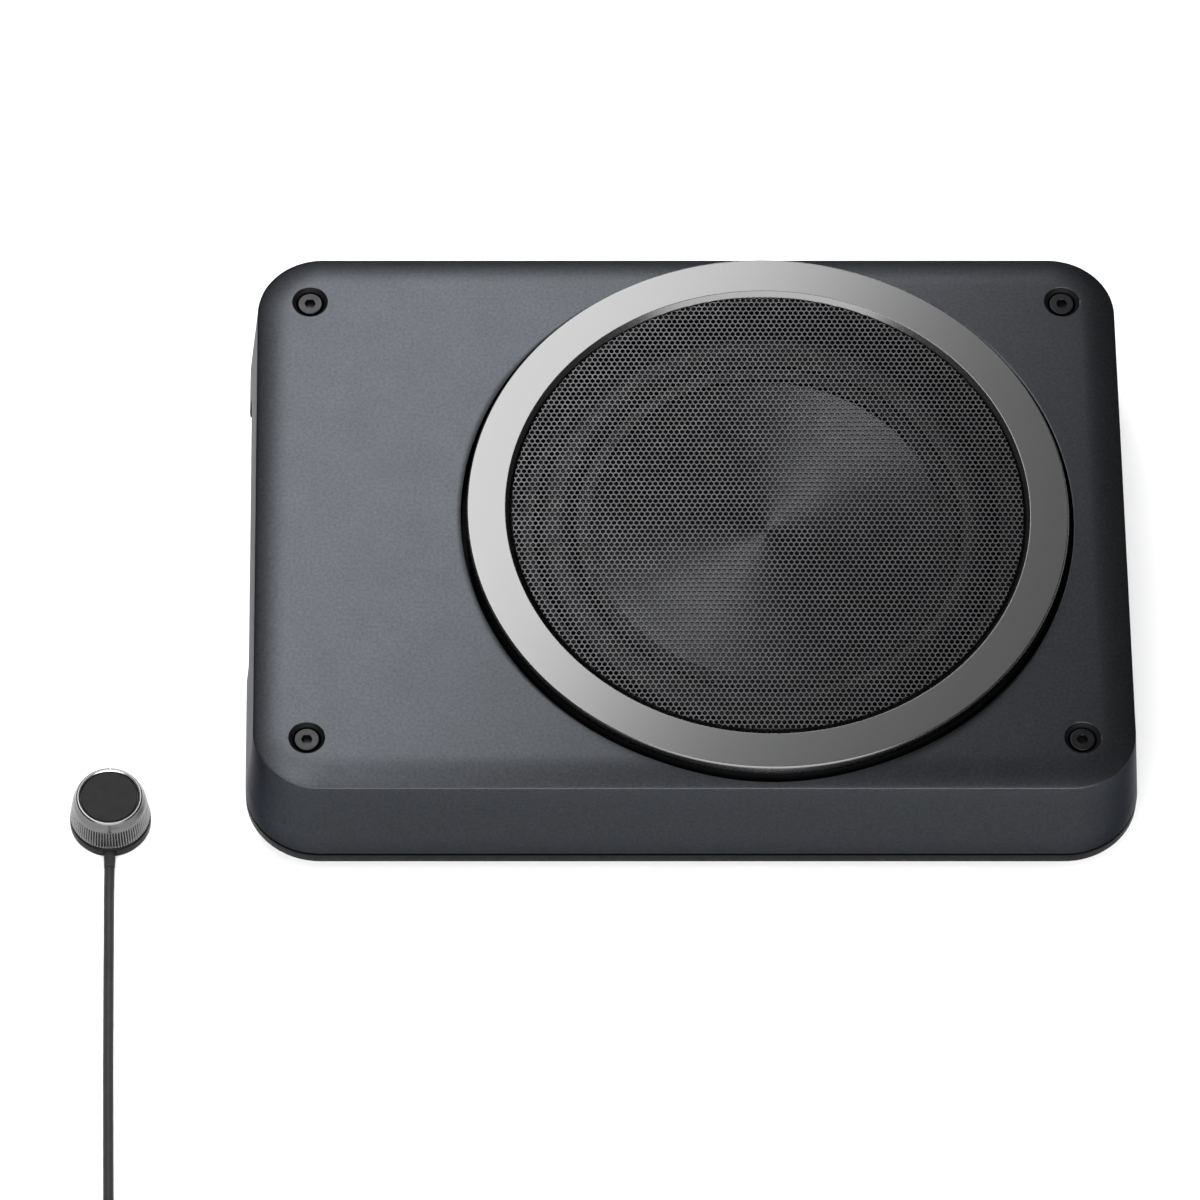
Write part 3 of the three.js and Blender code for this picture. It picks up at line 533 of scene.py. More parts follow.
def sun_light(name, direction, strength, spread, shadow=True):
    data = bpy.data.lights.new(name, "SUN")
    data.energy = strength
    data.angle = math.radians(spread)
    data.use_shadow = shadow
    aimed(new_object(name, data), -Vector(direction))


def make_stage():
    bpy.context.scene.view_settings.view_transform = "Standard"
    world = bpy.data.worlds.new("studio")
    world.use_nodes = True
    nodes, links = world.node_tree.nodes, world.node_tree.links
    background = nodes["Background"]
    background.inputs["Color"].default_value = (0.98, 0.99, 1.0, 1)
    split = nodes.new("ShaderNodeSeparateXYZ")
    rise = nodes.new("ShaderNodeMapRange")
    rise.inputs["To Min"].default_value = HORIZON
    rise.inputs["To Max"].default_value = ZENITH
    links.new(nodes.new("ShaderNodeTexCoord").outputs["Generated"], split.inputs[0])
    links.new(split.outputs["Z"], rise.inputs["Value"])
    links.new(rise.outputs["Result"], background.inputs["Strength"])
    bpy.context.scene.world = world
    softbox("softbox_left", (-0.10, 0.47, 0.67), (0.36, 0.70), 6.8, -27)
    softbox("softbox_front", (-0.25, -0.06, 0.70), (0.30, 0.26), 6.6)
    softbox("cone_light", (0.286, 0.857, 0.87), (0.22, 0.22), 215, target=(0.064, 0, 0.06))
    softbox("softbox_back", (-0.12, 1.2, 0.95), (1.1, 0.6), 0.9, target=(0, 0, 0.06))
    sun_light("front_fill", (0.0, -0.75, 0.62), 4.4, 72)
    floor = Look("floor", (0.93, 0.93, 0.93), 0.9)
    floor.vary_color(floor.noise(floor.place, 4, 2), 0.99, 1.0)
    sun_light("floor_fill", (0.3, -0.5, 0.8), 0.8, 60, shadow=False)
    bpy.ops.mesh.primitive_plane_add(size=40, location=(0, 0, 0))
    plane = bpy.context.active_object
    plane.name = "floor"
    plane.data.materials.append(floor.material)


make_camera()
make_stage()


# ---- the remote's cord ---------------------------------------

# From the relief to the coil, from the remote's axis: the same route as in the CAD model.
CORD_ROUTE = [
    (0, -22.3, 3.0), (0, -27, 2.8), (0, -33, 2.4), (0.1, -41, 2.15), (0.3, -53, 2.1),
    (0.5, -70, 2.1), (0.8, -90, 2.1), (1.1, -110, 2.1), (1.5, -130, 2.1), (1.9, -150, 2.1),
    (2.3, -170, 2.1), (2.6, -190, 2.1), (2.75, -204, 2.2), (2.75, -214, 2.4), (2.75, -224, 2.8),
]
COIL_COLUMNS = 6
COIL_TURNS = 27.0  # full turns, before the last stretch to the plug
COIL_CROSSING = 0.16  # the share of a turn in which a turn moves over to the next place
STEPS_PER_TURN = 40
PLUG_ENTRY_HEIGHT = 3.2
PLUG_BODY_HEIGHT = 6.6


def smoothed(points, per_span=4):
    """Points on the Catmull-Rom curve through a list of points."""
    p = [np.array(q, float) for q in points]
    p = [2 * p[0] - p[1], *p, 2 * p[-1] - p[-2]]
    result = []
    for a, b, c, d in zip(p, p[1:], p[2:], p[3:]):
        for k in range(per_span):
            t = k / per_span
            result.append(0.5 * (2 * b + (c - a) * t + (2 * a - 5 * b + 4 * c - d) * t * t
                                 + (3 * b - a - 3 * c + d) * t ** 3))
    return result + [p[-2]]


def ease(t):
    """Goes from 0 to 1, slowly at both ends."""
    t = min(max(t, 0.0), 1.0)
    return t * t * (3 - 2 * t)


def round_axis(radius, angle, height):
    return np.array((radius * math.cos(angle), radius * math.sin(angle), height))


def coil_place(turn):
    """(column, layer) of the n-th turn: layers run inwards and outwards in turn."""
    layer, step = divmod(int(turn), COIL_COLUMNS)
    return (step if layer % 2 == 0 else COIL_COLUMNS - 1 - step), layer


def coil_points(plug_x, plug_radius, plug_z):
    """The wound length and the last stretch into the plug, about the coil's axis."""
    outer = (coil_high[0] - coil_low[0]) / 2 - CORD_PITCH / 2
    bottom = coil_low[2] + CORD_PITCH / 2
    points = []
    for i in range(int(COIL_TURNS * STEPS_PER_TURN) + 1):
        turn = i / STEPS_PER_TURN
        share = turn - int(turn)
        column, layer = coil_place(turn)
        next_column, next_layer = coil_place(turn + 1)
        if turn >= COIL_TURNS - 1:
            next_column, next_layer = column, layer
        across = ease((share - 1 + COIL_CROSSING) / COIL_CROSSING)
        up = ease((share - 0.9 + COIL_CROSSING) / (COIL_CROSSING * 0.5 + 0.06))
        radius = outer - CORD_PITCH * (column + (next_column - column) * across)
        height = bottom + CORD_PITCH * (layer + (next_layer - layer) * up)
        points.append(round_axis(radius, math.pi + 2 * math.pi * turn, height))
    start_radius = np.linalg.norm(points[-1][:2])
    end_radius = math.hypot(plug_x, plug_radius)
    end_angle = math.atan2(-plug_radius, plug_x) + 2 * math.pi
    for k in range(1, 11):
        t = k / 10
        radius = start_radius + (end_radius - start_radius) * ease(t)
        height = points[-1][2] + (plug_z - points[-1][2]) * (0.0 if k < 6 else 0.4)
        points.append(round_axis(radius, math.pi + (end_angle - math.pi) * t, height))
    return points


def make_cord():
    plug_low, plug_high = node_box("cord_plug")
    centre = (coil_low + coil_high) / 2
    plug_entry = plug_low[0] - centre[0]
    plug_radius = centre[1] - (plug_low[1] + plug_high[1]) / 2
    plug_z = plug_low[2] + PLUG_ENTRY_HEIGHT
    route = [np.array((REMOTE[0], REMOTE[1], 0)) + np.array(p) for p in smoothed(CORD_ROUTE)]
    route += [np.array((centre[0], centre[1], 0)) + p
              for p in coil_points(plug_entry, plug_radius, plug_z)]
    data = bpy.data.curves.new("bass_control_cord", "CURVE")
    data.dimensions = "3D"
    data.bevel_depth = CORD_DIAMETER / 2 * MM
    data.bevel_resolution = 4
    data.use_fill_caps = True
    spline = data.splines.new("POLY")
    spline.points.add(len(route) - 1)
    for point, place in zip(spline.points, route):
        point.co = (*(place * MM), 1)
    spline.use_smooth = True
    cord = new_object("bass_control_cord", data)
    jacket = moulded_look("cord_jacket", (0.024, 0.024, 0.0245), 0.5, 700, 0.015, 0.15)
    data.materials.append(jacket)
    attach(cord, "housing")
    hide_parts("remote_cord", "cord_coil")
    return cord, route[0]


cord, cord_exit = make_cord()


# ---- case ----------------------------------------------------


def inset_of(x, y):
    """How far a point lies inside the bottom outline of the case."""
    qx = np.abs(x) - (HALF_WIDTH - BODY_CORNER)
    qy = np.abs(y) - (HALF_DEPTH - BODY_CORNER)
    outside = np.hypot(np.maximum(qx, 0), np.maximum(qy, 0))
    return BODY_CORNER - outside - np.minimum(np.maximum(qx, qy), 0)


def top_height(x, y):
    """Height of the rolled top surface."""
    depth = np.clip((DRAFT + ROLL_WIDTH - inset_of(x, y)) / ROLL_WIDTH, 0, 1)
    return TOP_Z - ROLL_DROP * depth ** 2


def outline(inset, corner_steps=20):
    """A rounded rectangle lying that far inside the case's bottom outline."""
    radius = max(BODY_CORNER - inset, 2)
    x, y = HALF_WIDTH - inset - radius, HALF_DEPTH - inset - radius
    points = []
    for quarter, (sx, sy) in enumerate([(1, 1), (-1, 1), (-1, -1), (1, -1)]):
        for k in range(corner_steps + 1):
            angle = math.pi / 2 * (quarter + k / corner_steps)
            points.append((sx * x + radius * math.cos(angle), sy * y + radius * math.sin(angle)))
    return points


def subdivided(points, longest):
    """A closed outline with its long edges divided."""
    result = []
    for (x0, y0), (x1, y1) in zip(points, points[1:] + points[:1]):
        count = max(1, math.ceil(math.hypot(x1 - x0, y1 - y0) / longest))
        result += [(x0 + (x1 - x0) * k / count, y0 + (y1 - y0) * k / count) for k in range(count)]
    return result


def cover_rows():
    """Rows of points round the driver's axis, from its well over the top and down the skirt, then
    back along the inside."""
    rim = np.array(subdivided(outline(DRAFT, 28), 4))
    angles = np.sort(np.arctan2(rim[:, 1], rim[:, 0] - DRIVER_X))
    cos, sin = np.cos(angles), np.sin(angles)

    def reach(inset):
        """Distance from the driver's axis to the outline at that inset, for every angle."""
        low, high = np.full(len(angles), 40.0), np.full(len(angles), 260.0)
        for _ in range(40):
            middle = (low + high) / 2
            inside = inset_of(DRIVER_X + middle * cos, middle * sin) > inset
            low, high = np.where(inside, middle, low), np.where(inside, high, middle)
        return (low + high) / 2

    def row(radius, height):
        radius = np.broadcast_to(radius, angles.shape)
        x, y = DRIVER_X + radius * cos, radius * sin
        z = height(x, y) if callable(height) else np.full(len(angles), float(height))
        return np.stack([x + BODY_X, y, z], 1)

    slope = DRAFT / (TOP_Z - ROLL_DROP - SKIRT_Z)
    well_outer = WELL_RADIUS + 1.2
    edge = WELL_RADIUS + 0.2
    rows = [
        row(WELL_RADIUS, LEDGE_Z),
        row(WELL_RADIUS, lambda x, y: top_height(x, y) - 1.2),
        row(WELL_RADIUS, lambda x, y: top_height(x, y) - 0.2),
        row(WELL_RADIUS + 0.06, lambda x, y: top_height(x, y) - 0.06),
        row(edge, top_height),
    ]
    flat_reach = reach(DRAFT + ROLL_WIDTH)
    for share in (0.03, 0.35, 0.7):
        radius = np.maximum(edge + 0.1 + 0.2 * share, edge + (flat_reach - edge) * share)
        rows.append(row(radius, top_height))
    roll_insets = np.linspace(DRAFT + ROLL_WIDTH, DRAFT + CREASE_ROUND, 13)
    for k, inset in enumerate(roll_insets):
        rows.append(row(np.maximum(edge + 0.4 + 0.12 * k, reach(inset)), top_height))
    start_z = TOP_Z - ROLL_DROP * ((ROLL_WIDTH - CREASE_ROUND) / ROLL_WIDTH) ** 2
    corner = np.array((DRAFT, TOP_Z - ROLL_DROP))
    start = np.array((DRAFT + CREASE_ROUND, start_z))
    end = corner + np.array((-slope, -1)) * CREASE_ROUND
    for t in (0.2, 0.4, 0.6, 0.8, 1.0):
        inset, z = (1 - t) ** 2 * start + 2 * t * (1 - t) * corner + t * t * end
        rows.append(row(reach(inset), z))
    for share in (0.25, 0.5, 0.75, 0.985):
        z = end[1] + (SKIRT_Z - end[1]) * share
        rows.append(row(reach((z - SKIRT_Z) * slope), z))
    rows += [row(reach(0.12), SKIRT_Z + 0.15), row(reach(0.5), SKIRT_Z)]
    inner_top = TOP_Z - ROLL_DROP - 3
    for inset, z in [(WALL - 0.3, SKIRT_Z), (WALL - 0.1, SKIRT_Z + 0.3), (DRAFT + WALL, inner_top),
                     (DRAFT + WALL + 3, TOP_Z - WALL)]:
        rows.append(row(np.maximum(reach(inset), well_outer + 0.1), z))
    return rows + [row(radius, z) for radius, z in (
        (well_outer, TOP_Z - WALL - 0.4), (well_outer, LEDGE_Z - LEDGE_THICKNESS),
        (LEDGE_RADIUS, LEDGE_Z - LEDGE_THICKNESS), (LEDGE_RADIUS, LEDGE_Z))]


def make_case_cover():
    """The cover, with screw recesses and the bay's mouth. The well and the recesses are near-black, as
    painted shade.
    """
    shape = inverted(skin(cover_rows(), capped=False))
    cover = add_piece("case_cover", "top_cover", shape, [PAINT, BLACK_AND_PAINTED_SHADE], "paint", sharp=40)
    recess = rounded([(0, -4.5), (5.5, -4.5), (5.5, -1.5), (RECESS_RADIUS, -0.1),
                      (RECESS_RADIUS + 0.2, 0.06), (RECESS_RADIUS + 0.2, 1), (0, 1)], 0.25, 3)
    recesses = [lathe(recess, 48, at(BODY_X + x, y, TOP_Z)) for x, y in corners(SCREW_X, SCREW_Y)]
    carve(cover, *recesses, bay_cutter(), sharp=40)

    # Painted shade: faces down in the driver's well and in the screw recesses take the near-black look.
    def pick(centres):
        x, y, z = (centres - (BODY_X, 0, 0)).T
        in_well = (np.hypot(x - DRIVER_X, y) < WELL_RADIUS + 0.03) & (z < TOP_Z - 0.6)
        from_screw = np.hypot(np.abs(x) - SCREW_X, np.abs(y) - SCREW_Y)
        return in_well | (from_screw < RECESS_RADIUS - 0.05) & (z < TOP_Z - 0.15)

    choose_looks(cover.data, pick)


def corners(dx, dy):
    return [(-dx, -dy), (dx, -dy), (dx, dy), (-dx, dy)]


BAY_WALL, BAY_LID = 2.3, 2.2
BAY_Y = (bay_low[1] + BAY_WALL, bay_high[1] - BAY_WALL)
BAY_TOP_Z = bay_high[2] - BAY_LID
BAY_ROUND = 3.0


def bay_cutter():
    """The mouth of the connector bay, with rounded upper corners."""
    section = []
    for y, quarter in ((BAY_Y[1] - BAY_ROUND, 0), (BAY_Y[0] + BAY_ROUND, 1)):
        for k in range(9):
            angle = math.pi / 2 * (quarter + k / 8)
            section.append((y + BAY_ROUND * math.cos(angle),
                            BAY_TOP_Z - BAY_ROUND + BAY_ROUND * math.sin(angle)))
    section += [(BAY_Y[0], -10), (BAY_Y[1], -10)]
    rings = [[(x, y, z) for y, z in section] for x in (BODY_X - 160, BODY_X - HALF_WIDTH - 20)]
    return inverted(skin(rings))


PAN_INSET = 13
FLANGE_INSET = 0.1
SEAM_HEIGHT, SEAM_DEPTH = 1.4, 2.5
FOOT_HEIGHT = node_box("base_pan")[0][2]
FLANGE_Z = TOP_Z - 51.7


def make_case_pan():
    """The black pan: a flange that shows below the skirt, and an inset tray."""
    levels = [
        (PAN_INSET + 3.2, FOOT_HEIGHT), (PAN_INSET + 1.6, FOOT_HEIGHT + 0.5),
        (PAN_INSET + 1, FOOT_HEIGHT + 1.9), (PAN_INSET + 0.2, FLANGE_Z - 0.8),
        (PAN_INSET - 0.6, FLANGE_Z), (FLANGE_INSET + 0.9, FLANGE_Z),
        (FLANGE_INSET + 0.2, FLANGE_Z + 0.2), (FLANGE_INSET, FLANGE_Z + 0.7),
        (FLANGE_INSET, SKIRT_Z - SEAM_HEIGHT - 0.25),
        (FLANGE_INSET + 0.2, SKIRT_Z - SEAM_HEIGHT),
        (FLANGE_INSET + SEAM_DEPTH, SKIRT_Z - SEAM_HEIGHT), (FLANGE_INSET + SEAM_DEPTH, SKIRT_Z - GAP),
        (PAN_INSET + WALL, SKIRT_Z - GAP), (PAN_INSET + WALL + 1, FOOT_HEIGHT + 2.5),
    ]
    rings = [[(x + BODY_X, y, z) for x, y in outline(inset)] for inset, z in levels]
    pan = add_piece("case_pan", "base_pan", skin(rings), BLACK_AND_PAINTED_SHADE)
    mouth = box_mesh((BODY_X - HALF_WIDTH - 5, BAY_Y[0] - 2.6, -5),
                     (bay_high[0] + GAP, BAY_Y[1] + 2.6, 40), 0)
    carve(pan, mouth)


make_case_cover()
make_case_pan()


# ---- driver trim ---------------------------------------------

DRIVER = at(BODY_X + DRIVER_X, 0)
RING_TOP = ring_high[2]
RING_BOTTOM = ring_low[2]


def make_speaker_ring():
    """A satin face between a polished bevel inside and a polished edge outside."""
    profile = [
        (RING_INNER - RING_BEVEL, RING_BOTTOM), (RING_OUTER + 0.35, RING_BOTTOM),
        (RING_OUTER + 0.4, RING_BOTTOM + 0.4), (RING_OUTER + 0.3, RING_TOP - 0.8),
        (RING_OUTER - 0.2, RING_TOP - 0.2), (RING_INNER, RING_TOP),
        (RING_INNER - RING_BEVEL, RING_TOP - RING_BEVEL),
    ]

    def pick(centres):
        r = np.hypot(centres[:, 0] - BODY_X - DRIVER_X, centres[:, 1])
        on_face = (r > RING_INNER + 0.1) & (r < RING_OUTER - 0.35) & (centres[:, 2] > RING_TOP - 1)
        return np.where(on_face, 0, 1)

    add_piece("speaker_ring", "trim_ring", lathe(rounded(profile, 0.15, 2), 320, DRIVER),
              [RING_FACE, RING_EDGE], "ring_metal", pick=pick, sharp=35)


def make_ring_wall():
    """The wall under the ring, near-black as painted shade in the gap below the ring."""
    foot, top = LEDGE_Z + GAP, RING_BOTTOM - GAP
    profile = [(LEDGE_RADIUS, top - 2.7), (RING_OUTER - 3, top - 2.7), (RING_OUTER - 3, foot),
               (RING_OUTER, foot), (RING_OUTER, top), (LEDGE_RADIUS, top)]
    shape = lathe(rounded(profile, 0.3, 2), DRIVER_SEGMENTS, DRIVER)
    # Painted shade: the wall takes the near-black look.
    add_piece("ring_wall", "grille_plinth", shape, BLACK_AND_PAINTED_SHADE)


def make_grille_seat():
    """The seat in the slit between the ring and the grille, near-black as painted shade in the slit."""
    inner, top = LEDGE_RADIUS + 0.5, grille_low[2] - GAP
    profile = [(inner, RING_BOTTOM), (GRILLE_RADIUS, RING_BOTTOM), (GRILLE_RADIUS, top), (inner, top)]
    shape = lathe(rounded(profile, 0.2, 2), DRIVER_SEGMENTS, DRIVER)
    # Painted shade: the seat takes the near-black look.
    add_piece("grille_seat", "grille_bezel", shape, BLACK_AND_PAINTED_SHADE)


HOLE_PITCH = 2.17  # across, between holes of a row
ROW_PITCH = 2.0  # between rows, which are staggered
STRAND = 0.205  # the metal left between two holes, as a share of their pitch
GRILLE_THICKNESS = 0.7


def make_grille_sheet():
    """A domed sheet of hexagonal holes, each a cell of six walls."""
    cell = [(0, 2 / 3), (-1 / 2, 1 / 3), (-1 / 2, -1 / 3), (0, -2 / 3), (1 / 2, -1 / 3), (1 / 2, 1 / 3)]
    keep = 1 - STRAND
    limit = GRILLE_RADIUS
    corner_at, verts, faces = {}, [], []

    def vertex(x, y, layer, key=None):
        if key is not None and (key, layer) in corner_at:
            return corner_at[key, layer]
        distance = math.hypot(x, y)
        if distance > limit:
            x, y = x * limit / distance, y * limit / distance
            distance = limit
        dome = grille_high[2] - (grille_high[2] - grille_low[2] - 0.8) * (distance / limit) ** 2
        verts.append((x, y, dome - layer * GRILLE_THICKNESS))
        if key is not None:
            corner_at[key, layer] = len(verts) - 1
        return len(verts) - 1

    rows = int(limit / ROW_PITCH) + 1
    columns = int(limit / HOLE_PITCH) + 2
    for j in range(-rows, rows + 1):
        for i in range(-columns, columns + 1):
            x0 = (i + 0.5 * (j % 2)) * HOLE_PITCH
            y0 = j * ROW_PITCH
            if math.hypot(x0, y0) > limit + 0.6:
                continue
            rim, hole = [], []
            for cx, cy in cell:
                x, y = x0 + cx * HOLE_PITCH, y0 + cy * ROW_PITCH
                key = (round(x / HOLE_PITCH * 2), round(y / ROW_PITCH * 3))
                rim.append([vertex(x, y, layer, key) for layer in (0, 1)])
                hx, hy = x0 + cx * HOLE_PITCH * keep, y0 + cy * ROW_PITCH * keep
                hole.append([vertex(hx, hy, layer) for layer in (0, 1)])
            for k in range(6):
                n = (k + 1) % 6
                faces.append((rim[k][0], rim[n][0], hole[n][0], hole[k][0]))
                faces.append((rim[n][1], rim[k][1], hole[k][1], hole[n][1]))
                faces.append((hole[k][0], hole[n][0], hole[n][1], hole[k][1]))
    # Of a cell's faces, every third is the sheet's front; the others, the hole's walls and the back, are
    # near-black as painted shade in the holes.
    add_piece("grille_sheet", "grille", (transformed(verts, DRIVER), faces),
              [GRILLE_STEEL, BLACK_AND_PAINTED_SHADE], "black_steel",
              pick=lambda centres: np.arange(len(centres)) % 3 > 0, sharp=40)


make_speaker_ring()
make_ring_wall()
make_grille_seat()
make_grille_sheet()


# ---- driver --------------------------------------------------

CONE_RADIUS = 72
CONE_EDGE_Z = 58.2
CONE_CENTRE_Z = 56.2


def make_cone():
    """A shallow, brushed metal diaphragm with a rim that goes down to the voice coil. Its metal is
    near-black, as painted shade under the grille.
    """
    profile = [
        (20.8, 50), (22, 50), (23, 53.5), (CONE_RADIUS - 4, CONE_EDGE_Z - 1.5),
        (CONE_RADIUS, CONE_EDGE_Z - 1.2), (CONE_RADIUS, CONE_EDGE_Z),
        (36, (CONE_EDGE_Z + CONE_CENTRE_Z) / 2), (0, CONE_CENTRE_Z), (0, CONE_CENTRE_Z - 1.4),
        (19, 54.2), (20.8, 53.2),
    ]
    shape = lathe(rounded(profile, 0.3, 2), DRIVER_SEGMENTS, DRIVER)
    add_piece("cone_plate", "diaphragm", shape, CONE_METAL_PAINTED_SHADE, "cone_metal", "cone")


def compliance_sectors(name, node, profile, look, slot, count=24, steps=6):
    """A ring that stretches between case and cone, made of separate sectors."""
    centre = np.array((BODY_X + DRIVER_X, 0))
    for n in range(count):
        rings = []
        for k in range(steps + 1):
            angle = 2 * math.pi * (n + k / steps) / count
            rings.append([(centre[0] + r * math.cos(angle), centre[1] + r * math.sin(angle), z)
                          for r, z in profile])
        piece = add_piece(f"{name}_{n + 1}", node, skin(rings), look, slot, body=None)
        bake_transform(piece)


def make_surround():
    """A half roll of rubber from the basket's flange to the cone's edge. Its near-black colour is the
    rubber's own, deepened as painted shade under the grille.
    """
    inner, outer = 74, 91
    inner_z, outer_z = CONE_EDGE_Z + GAP, 56.9
    top, under = [(CONE_RADIUS - 3, inner_z + 0.8)], [(CONE_RADIUS - 3, inner_z)]
    for k in range(17):
        angle = math.pi * (1 - k / 16)
        r = (inner + outer) / 2 + (outer - inner) / 2 * math.cos(angle)
        z = inner_z + (outer_z - inner_z) * k / 16 + 3.6 * math.sin(angle)
        under.append((r, z))
        top.append((r, z + 0.8))
    under.append((outer + 4.5, outer_z))
    top.append((outer + 4.5, outer_z + 0.8))
    compliance_sectors("surround_roll", "surround", under + top[::-1],
                       SURROUND_RUBBER_AND_SHADE, "rubber")


def make_spider():
    """A corrugated cloth ring that centres the voice coil."""
    inner, outer, rest_z = 21.2, 57.5, 40.3
    under, steps = [], 36
    for k in range(steps + 1):
        wave = 0.9 * (1 - math.cos(math.pi * 8 * k / steps))
        under.append((inner + (outer - 4 - inner) * k / steps, rest_z + wave))
    under.append((outer, rest_z))
    top = [(r, z + 0.6) for r, z in reversed(under)]
    compliance_sectors("spider", "spider", under + top, CLOTH, "cloth", 16, 5)


make_cone()
make_surround()
make_spider()


# ---- screws and feet -----------------------------------------


def turned_piece(name, node, profile, look, slot, matrix, segments=96, round_by=0.25, **options):
    shape = lathe(rounded(profile, round_by), segments, matrix)
    return add_piece(name, node, shape, look, slot, **options)


def make_cover_screws():
    for n in range(1, 5):
        low, high = node_box(f"cover_screw_{n}")
        x, y = (low + high)[:2] / 2
        top = high[2]
        screw = turned_piece(
            f"case_screw_{n}", f"cover_screw_{n}",
            [(0, low[2]), (1.3, low[2]), (2.1, low[2] + 1.5), (2.1, top - 3), (4.85, top - 3),
             (4.85, top - 0.25), (4.6, top), (0, top)],
            SCREW_BLACK, "black_steel", at(x, y), 64, 0.15)
        socket = lathe([(0, top - 2.7), (2.2, top - 2.7), (2.2, top + 1), (0, top + 1)], 6, at(x, y))
        rim = lathe([(0, top - 0.15), (1.95, top - 0.15), (2.3, top + 0.2), (0, top + 0.2)], 48, at(x, y))
        carve(screw, socket)
        carve(screw, rim)


def make_feet():
    for n in range(1, 5):
        low, high = node_box(f"foot_{n}")
        x, y = (low + high)[:2] / 2
        turned_piece(
            f"foot_pad_{n}", f"foot_{n}",
            [(0, 0.6), (3.4, 0.6), (3.9, 0), (8.1, 0), (8.9, 0.9), (9, high[2]), (0, high[2])],
            RUBBER, "rubber", at(x, y), 64, 0.3)


make_cover_screws()
make_feet()


# ---- connector bay -------------------------------------------

PANEL_THICKNESS = 2.5
PANEL_X = bay_high[0] - PANEL_THICKNESS  # its outer face
PANEL_Z = 19.0
SLOT_Y, THUMB_Y = -40.8, -42.9  # the phase switch's slot, and its thumb at rest
FUSE_Z = 12.6


def on_panel(y, z=PANEL_Z):
    """Turns Z into the direction out of the bay, from a place on the panel."""
    return Matrix(((0, 0, -1, PANEL_X), (0, 1, 0, y), (1, 0, 0, z), (0, 0, 0, 1)))


def panel_box(out, y, z, width, height, round_by=0.25):
    """A block on the panel, between two distances out of its face."""
    low = (PANEL_X - out[1], y - width / 2, z - height / 2)
    high = (PANEL_X - out[0], y + width / 2, z + height / 2)
    return box_mesh(low, high, round_by)


def middle_of(node):
    """The Y and Z of a node's middle."""
    low, high = node_box(node)
    return (low + high)[1] / 2, (low + high)[2] / 2


def make_bay_panel():
    """The bay's walls and panel, with a hole or a shallow dish at each connector."""
    low, high = bay_low, bay_high
    panel = add_piece("bay_panel", "connector_panel", box_mesh(low, high, 0.5), BLACK)
    inner = box_mesh((low[0] - 2, BAY_Y[0], -2), (PANEL_X, BAY_Y[1], BAY_TOP_Z), 1.2, 3)
    under_flange = box_mesh((low[0] - 2, low[1] - 1, -2), (BODY_X - 159, high[1] + 1, FLANGE_Z), 0)
    carve(panel, inner)
    carve(panel, under_flange)
    holes = [panel_box((-4, 1), *middle_of("power_socket"), 20.6, 13.6, 0.5),
             panel_box((-4, 1), *middle_of("input_socket"), 16.6, 9.6, 0.5),
             panel_box((-4, 1), *middle_of("remote_jack"), 12.6, 12.6, 0.5),
             panel_box((-4, 1), SLOT_Y, PANEL_Z, 8.4, 4, 0.4)]
    fuse_y = middle_of("fuse")[0]
    holes += [panel_box((-4, 1), fuse_y + d, FUSE_Z, 6, 1.6, 0) for d in (-5, 5)]
    dishes = []
    for node, radius, dish in (("rca_jack_right", 4.8, 7), ("rca_jack_left", 4.8, 7),
                               ("gain_knob", 3.2, 5.5), ("lowpass_knob", 3.2, 5.5)):
        y = middle_of(node)[0]
        holes.append(lathe([(0, -4), (radius, -4), (radius, 1), (0, 1)], 48, on_panel(y)))
        dishes.append(lathe([(0, -0.5), (dish - 0.5, -0.5), (dish, 1), (0, 1)], 64, on_panel(y)))
    carve(panel, *dishes)
    carve(panel, *holes)


def make_socket(node, front, back, pins):
    """A socket shell, and its contacts standing in the hollow."""
    y, z = middle_of(node)
    low, high = node_box(node)
    width, height = high[1] - low[1], high[2] - low[2]
    shape = panel_box((-back, front), y, z, width, height, 0.6)
    shell = add_piece(node + "_shell", node, shape, BLACK_FINE)
    carve(shell, panel_box((-back + 3, front + 1), y, z, width - 2.6, height - 2.6, 0.4))
    offsets, length, pin_width, pin_height = pins
    blades = [panel_box((-back + 2, -back + 3 + length), y + d, z, pin_width, pin_height, 0.25)
              for d in offsets]
    add_piece(node + "_pins", node, merged(*blades), CONTACT, "steel")


def make_rca_jack(node, insulator):
    """A plated phono jack with a coloured flange and tip."""
    profile = [(0, -8), (4.5, -8), (4.5, 0.3), (6.5, 0.3), (6.5, 1.7), (4.15, 1.7), (4.15, 9.5),
               (3.3, 9.5), (3.2, 9.2), (1.9, 9.2), (1.7, 9.0), (1.7, -4), (0, -4)]

    def pick(centres):
        y, z = middle_of(node)
        r = np.hypot(centres[:, 1] - y, centres[:, 2] - z)
        out = PANEL_X - centres[:, 0]
        on_flange = (r > 4.2) & (out > 0.2)
        on_tip = (r < 3.25) & (out > 8.8)
        return np.where(on_flange | on_tip, 1, 0)

    turned_piece(node + "_barrel", node, profile, [CONTACT, insulator], "steel",
                 on_panel(middle_of(node)[0]), 96, 0.15, pick=pick)


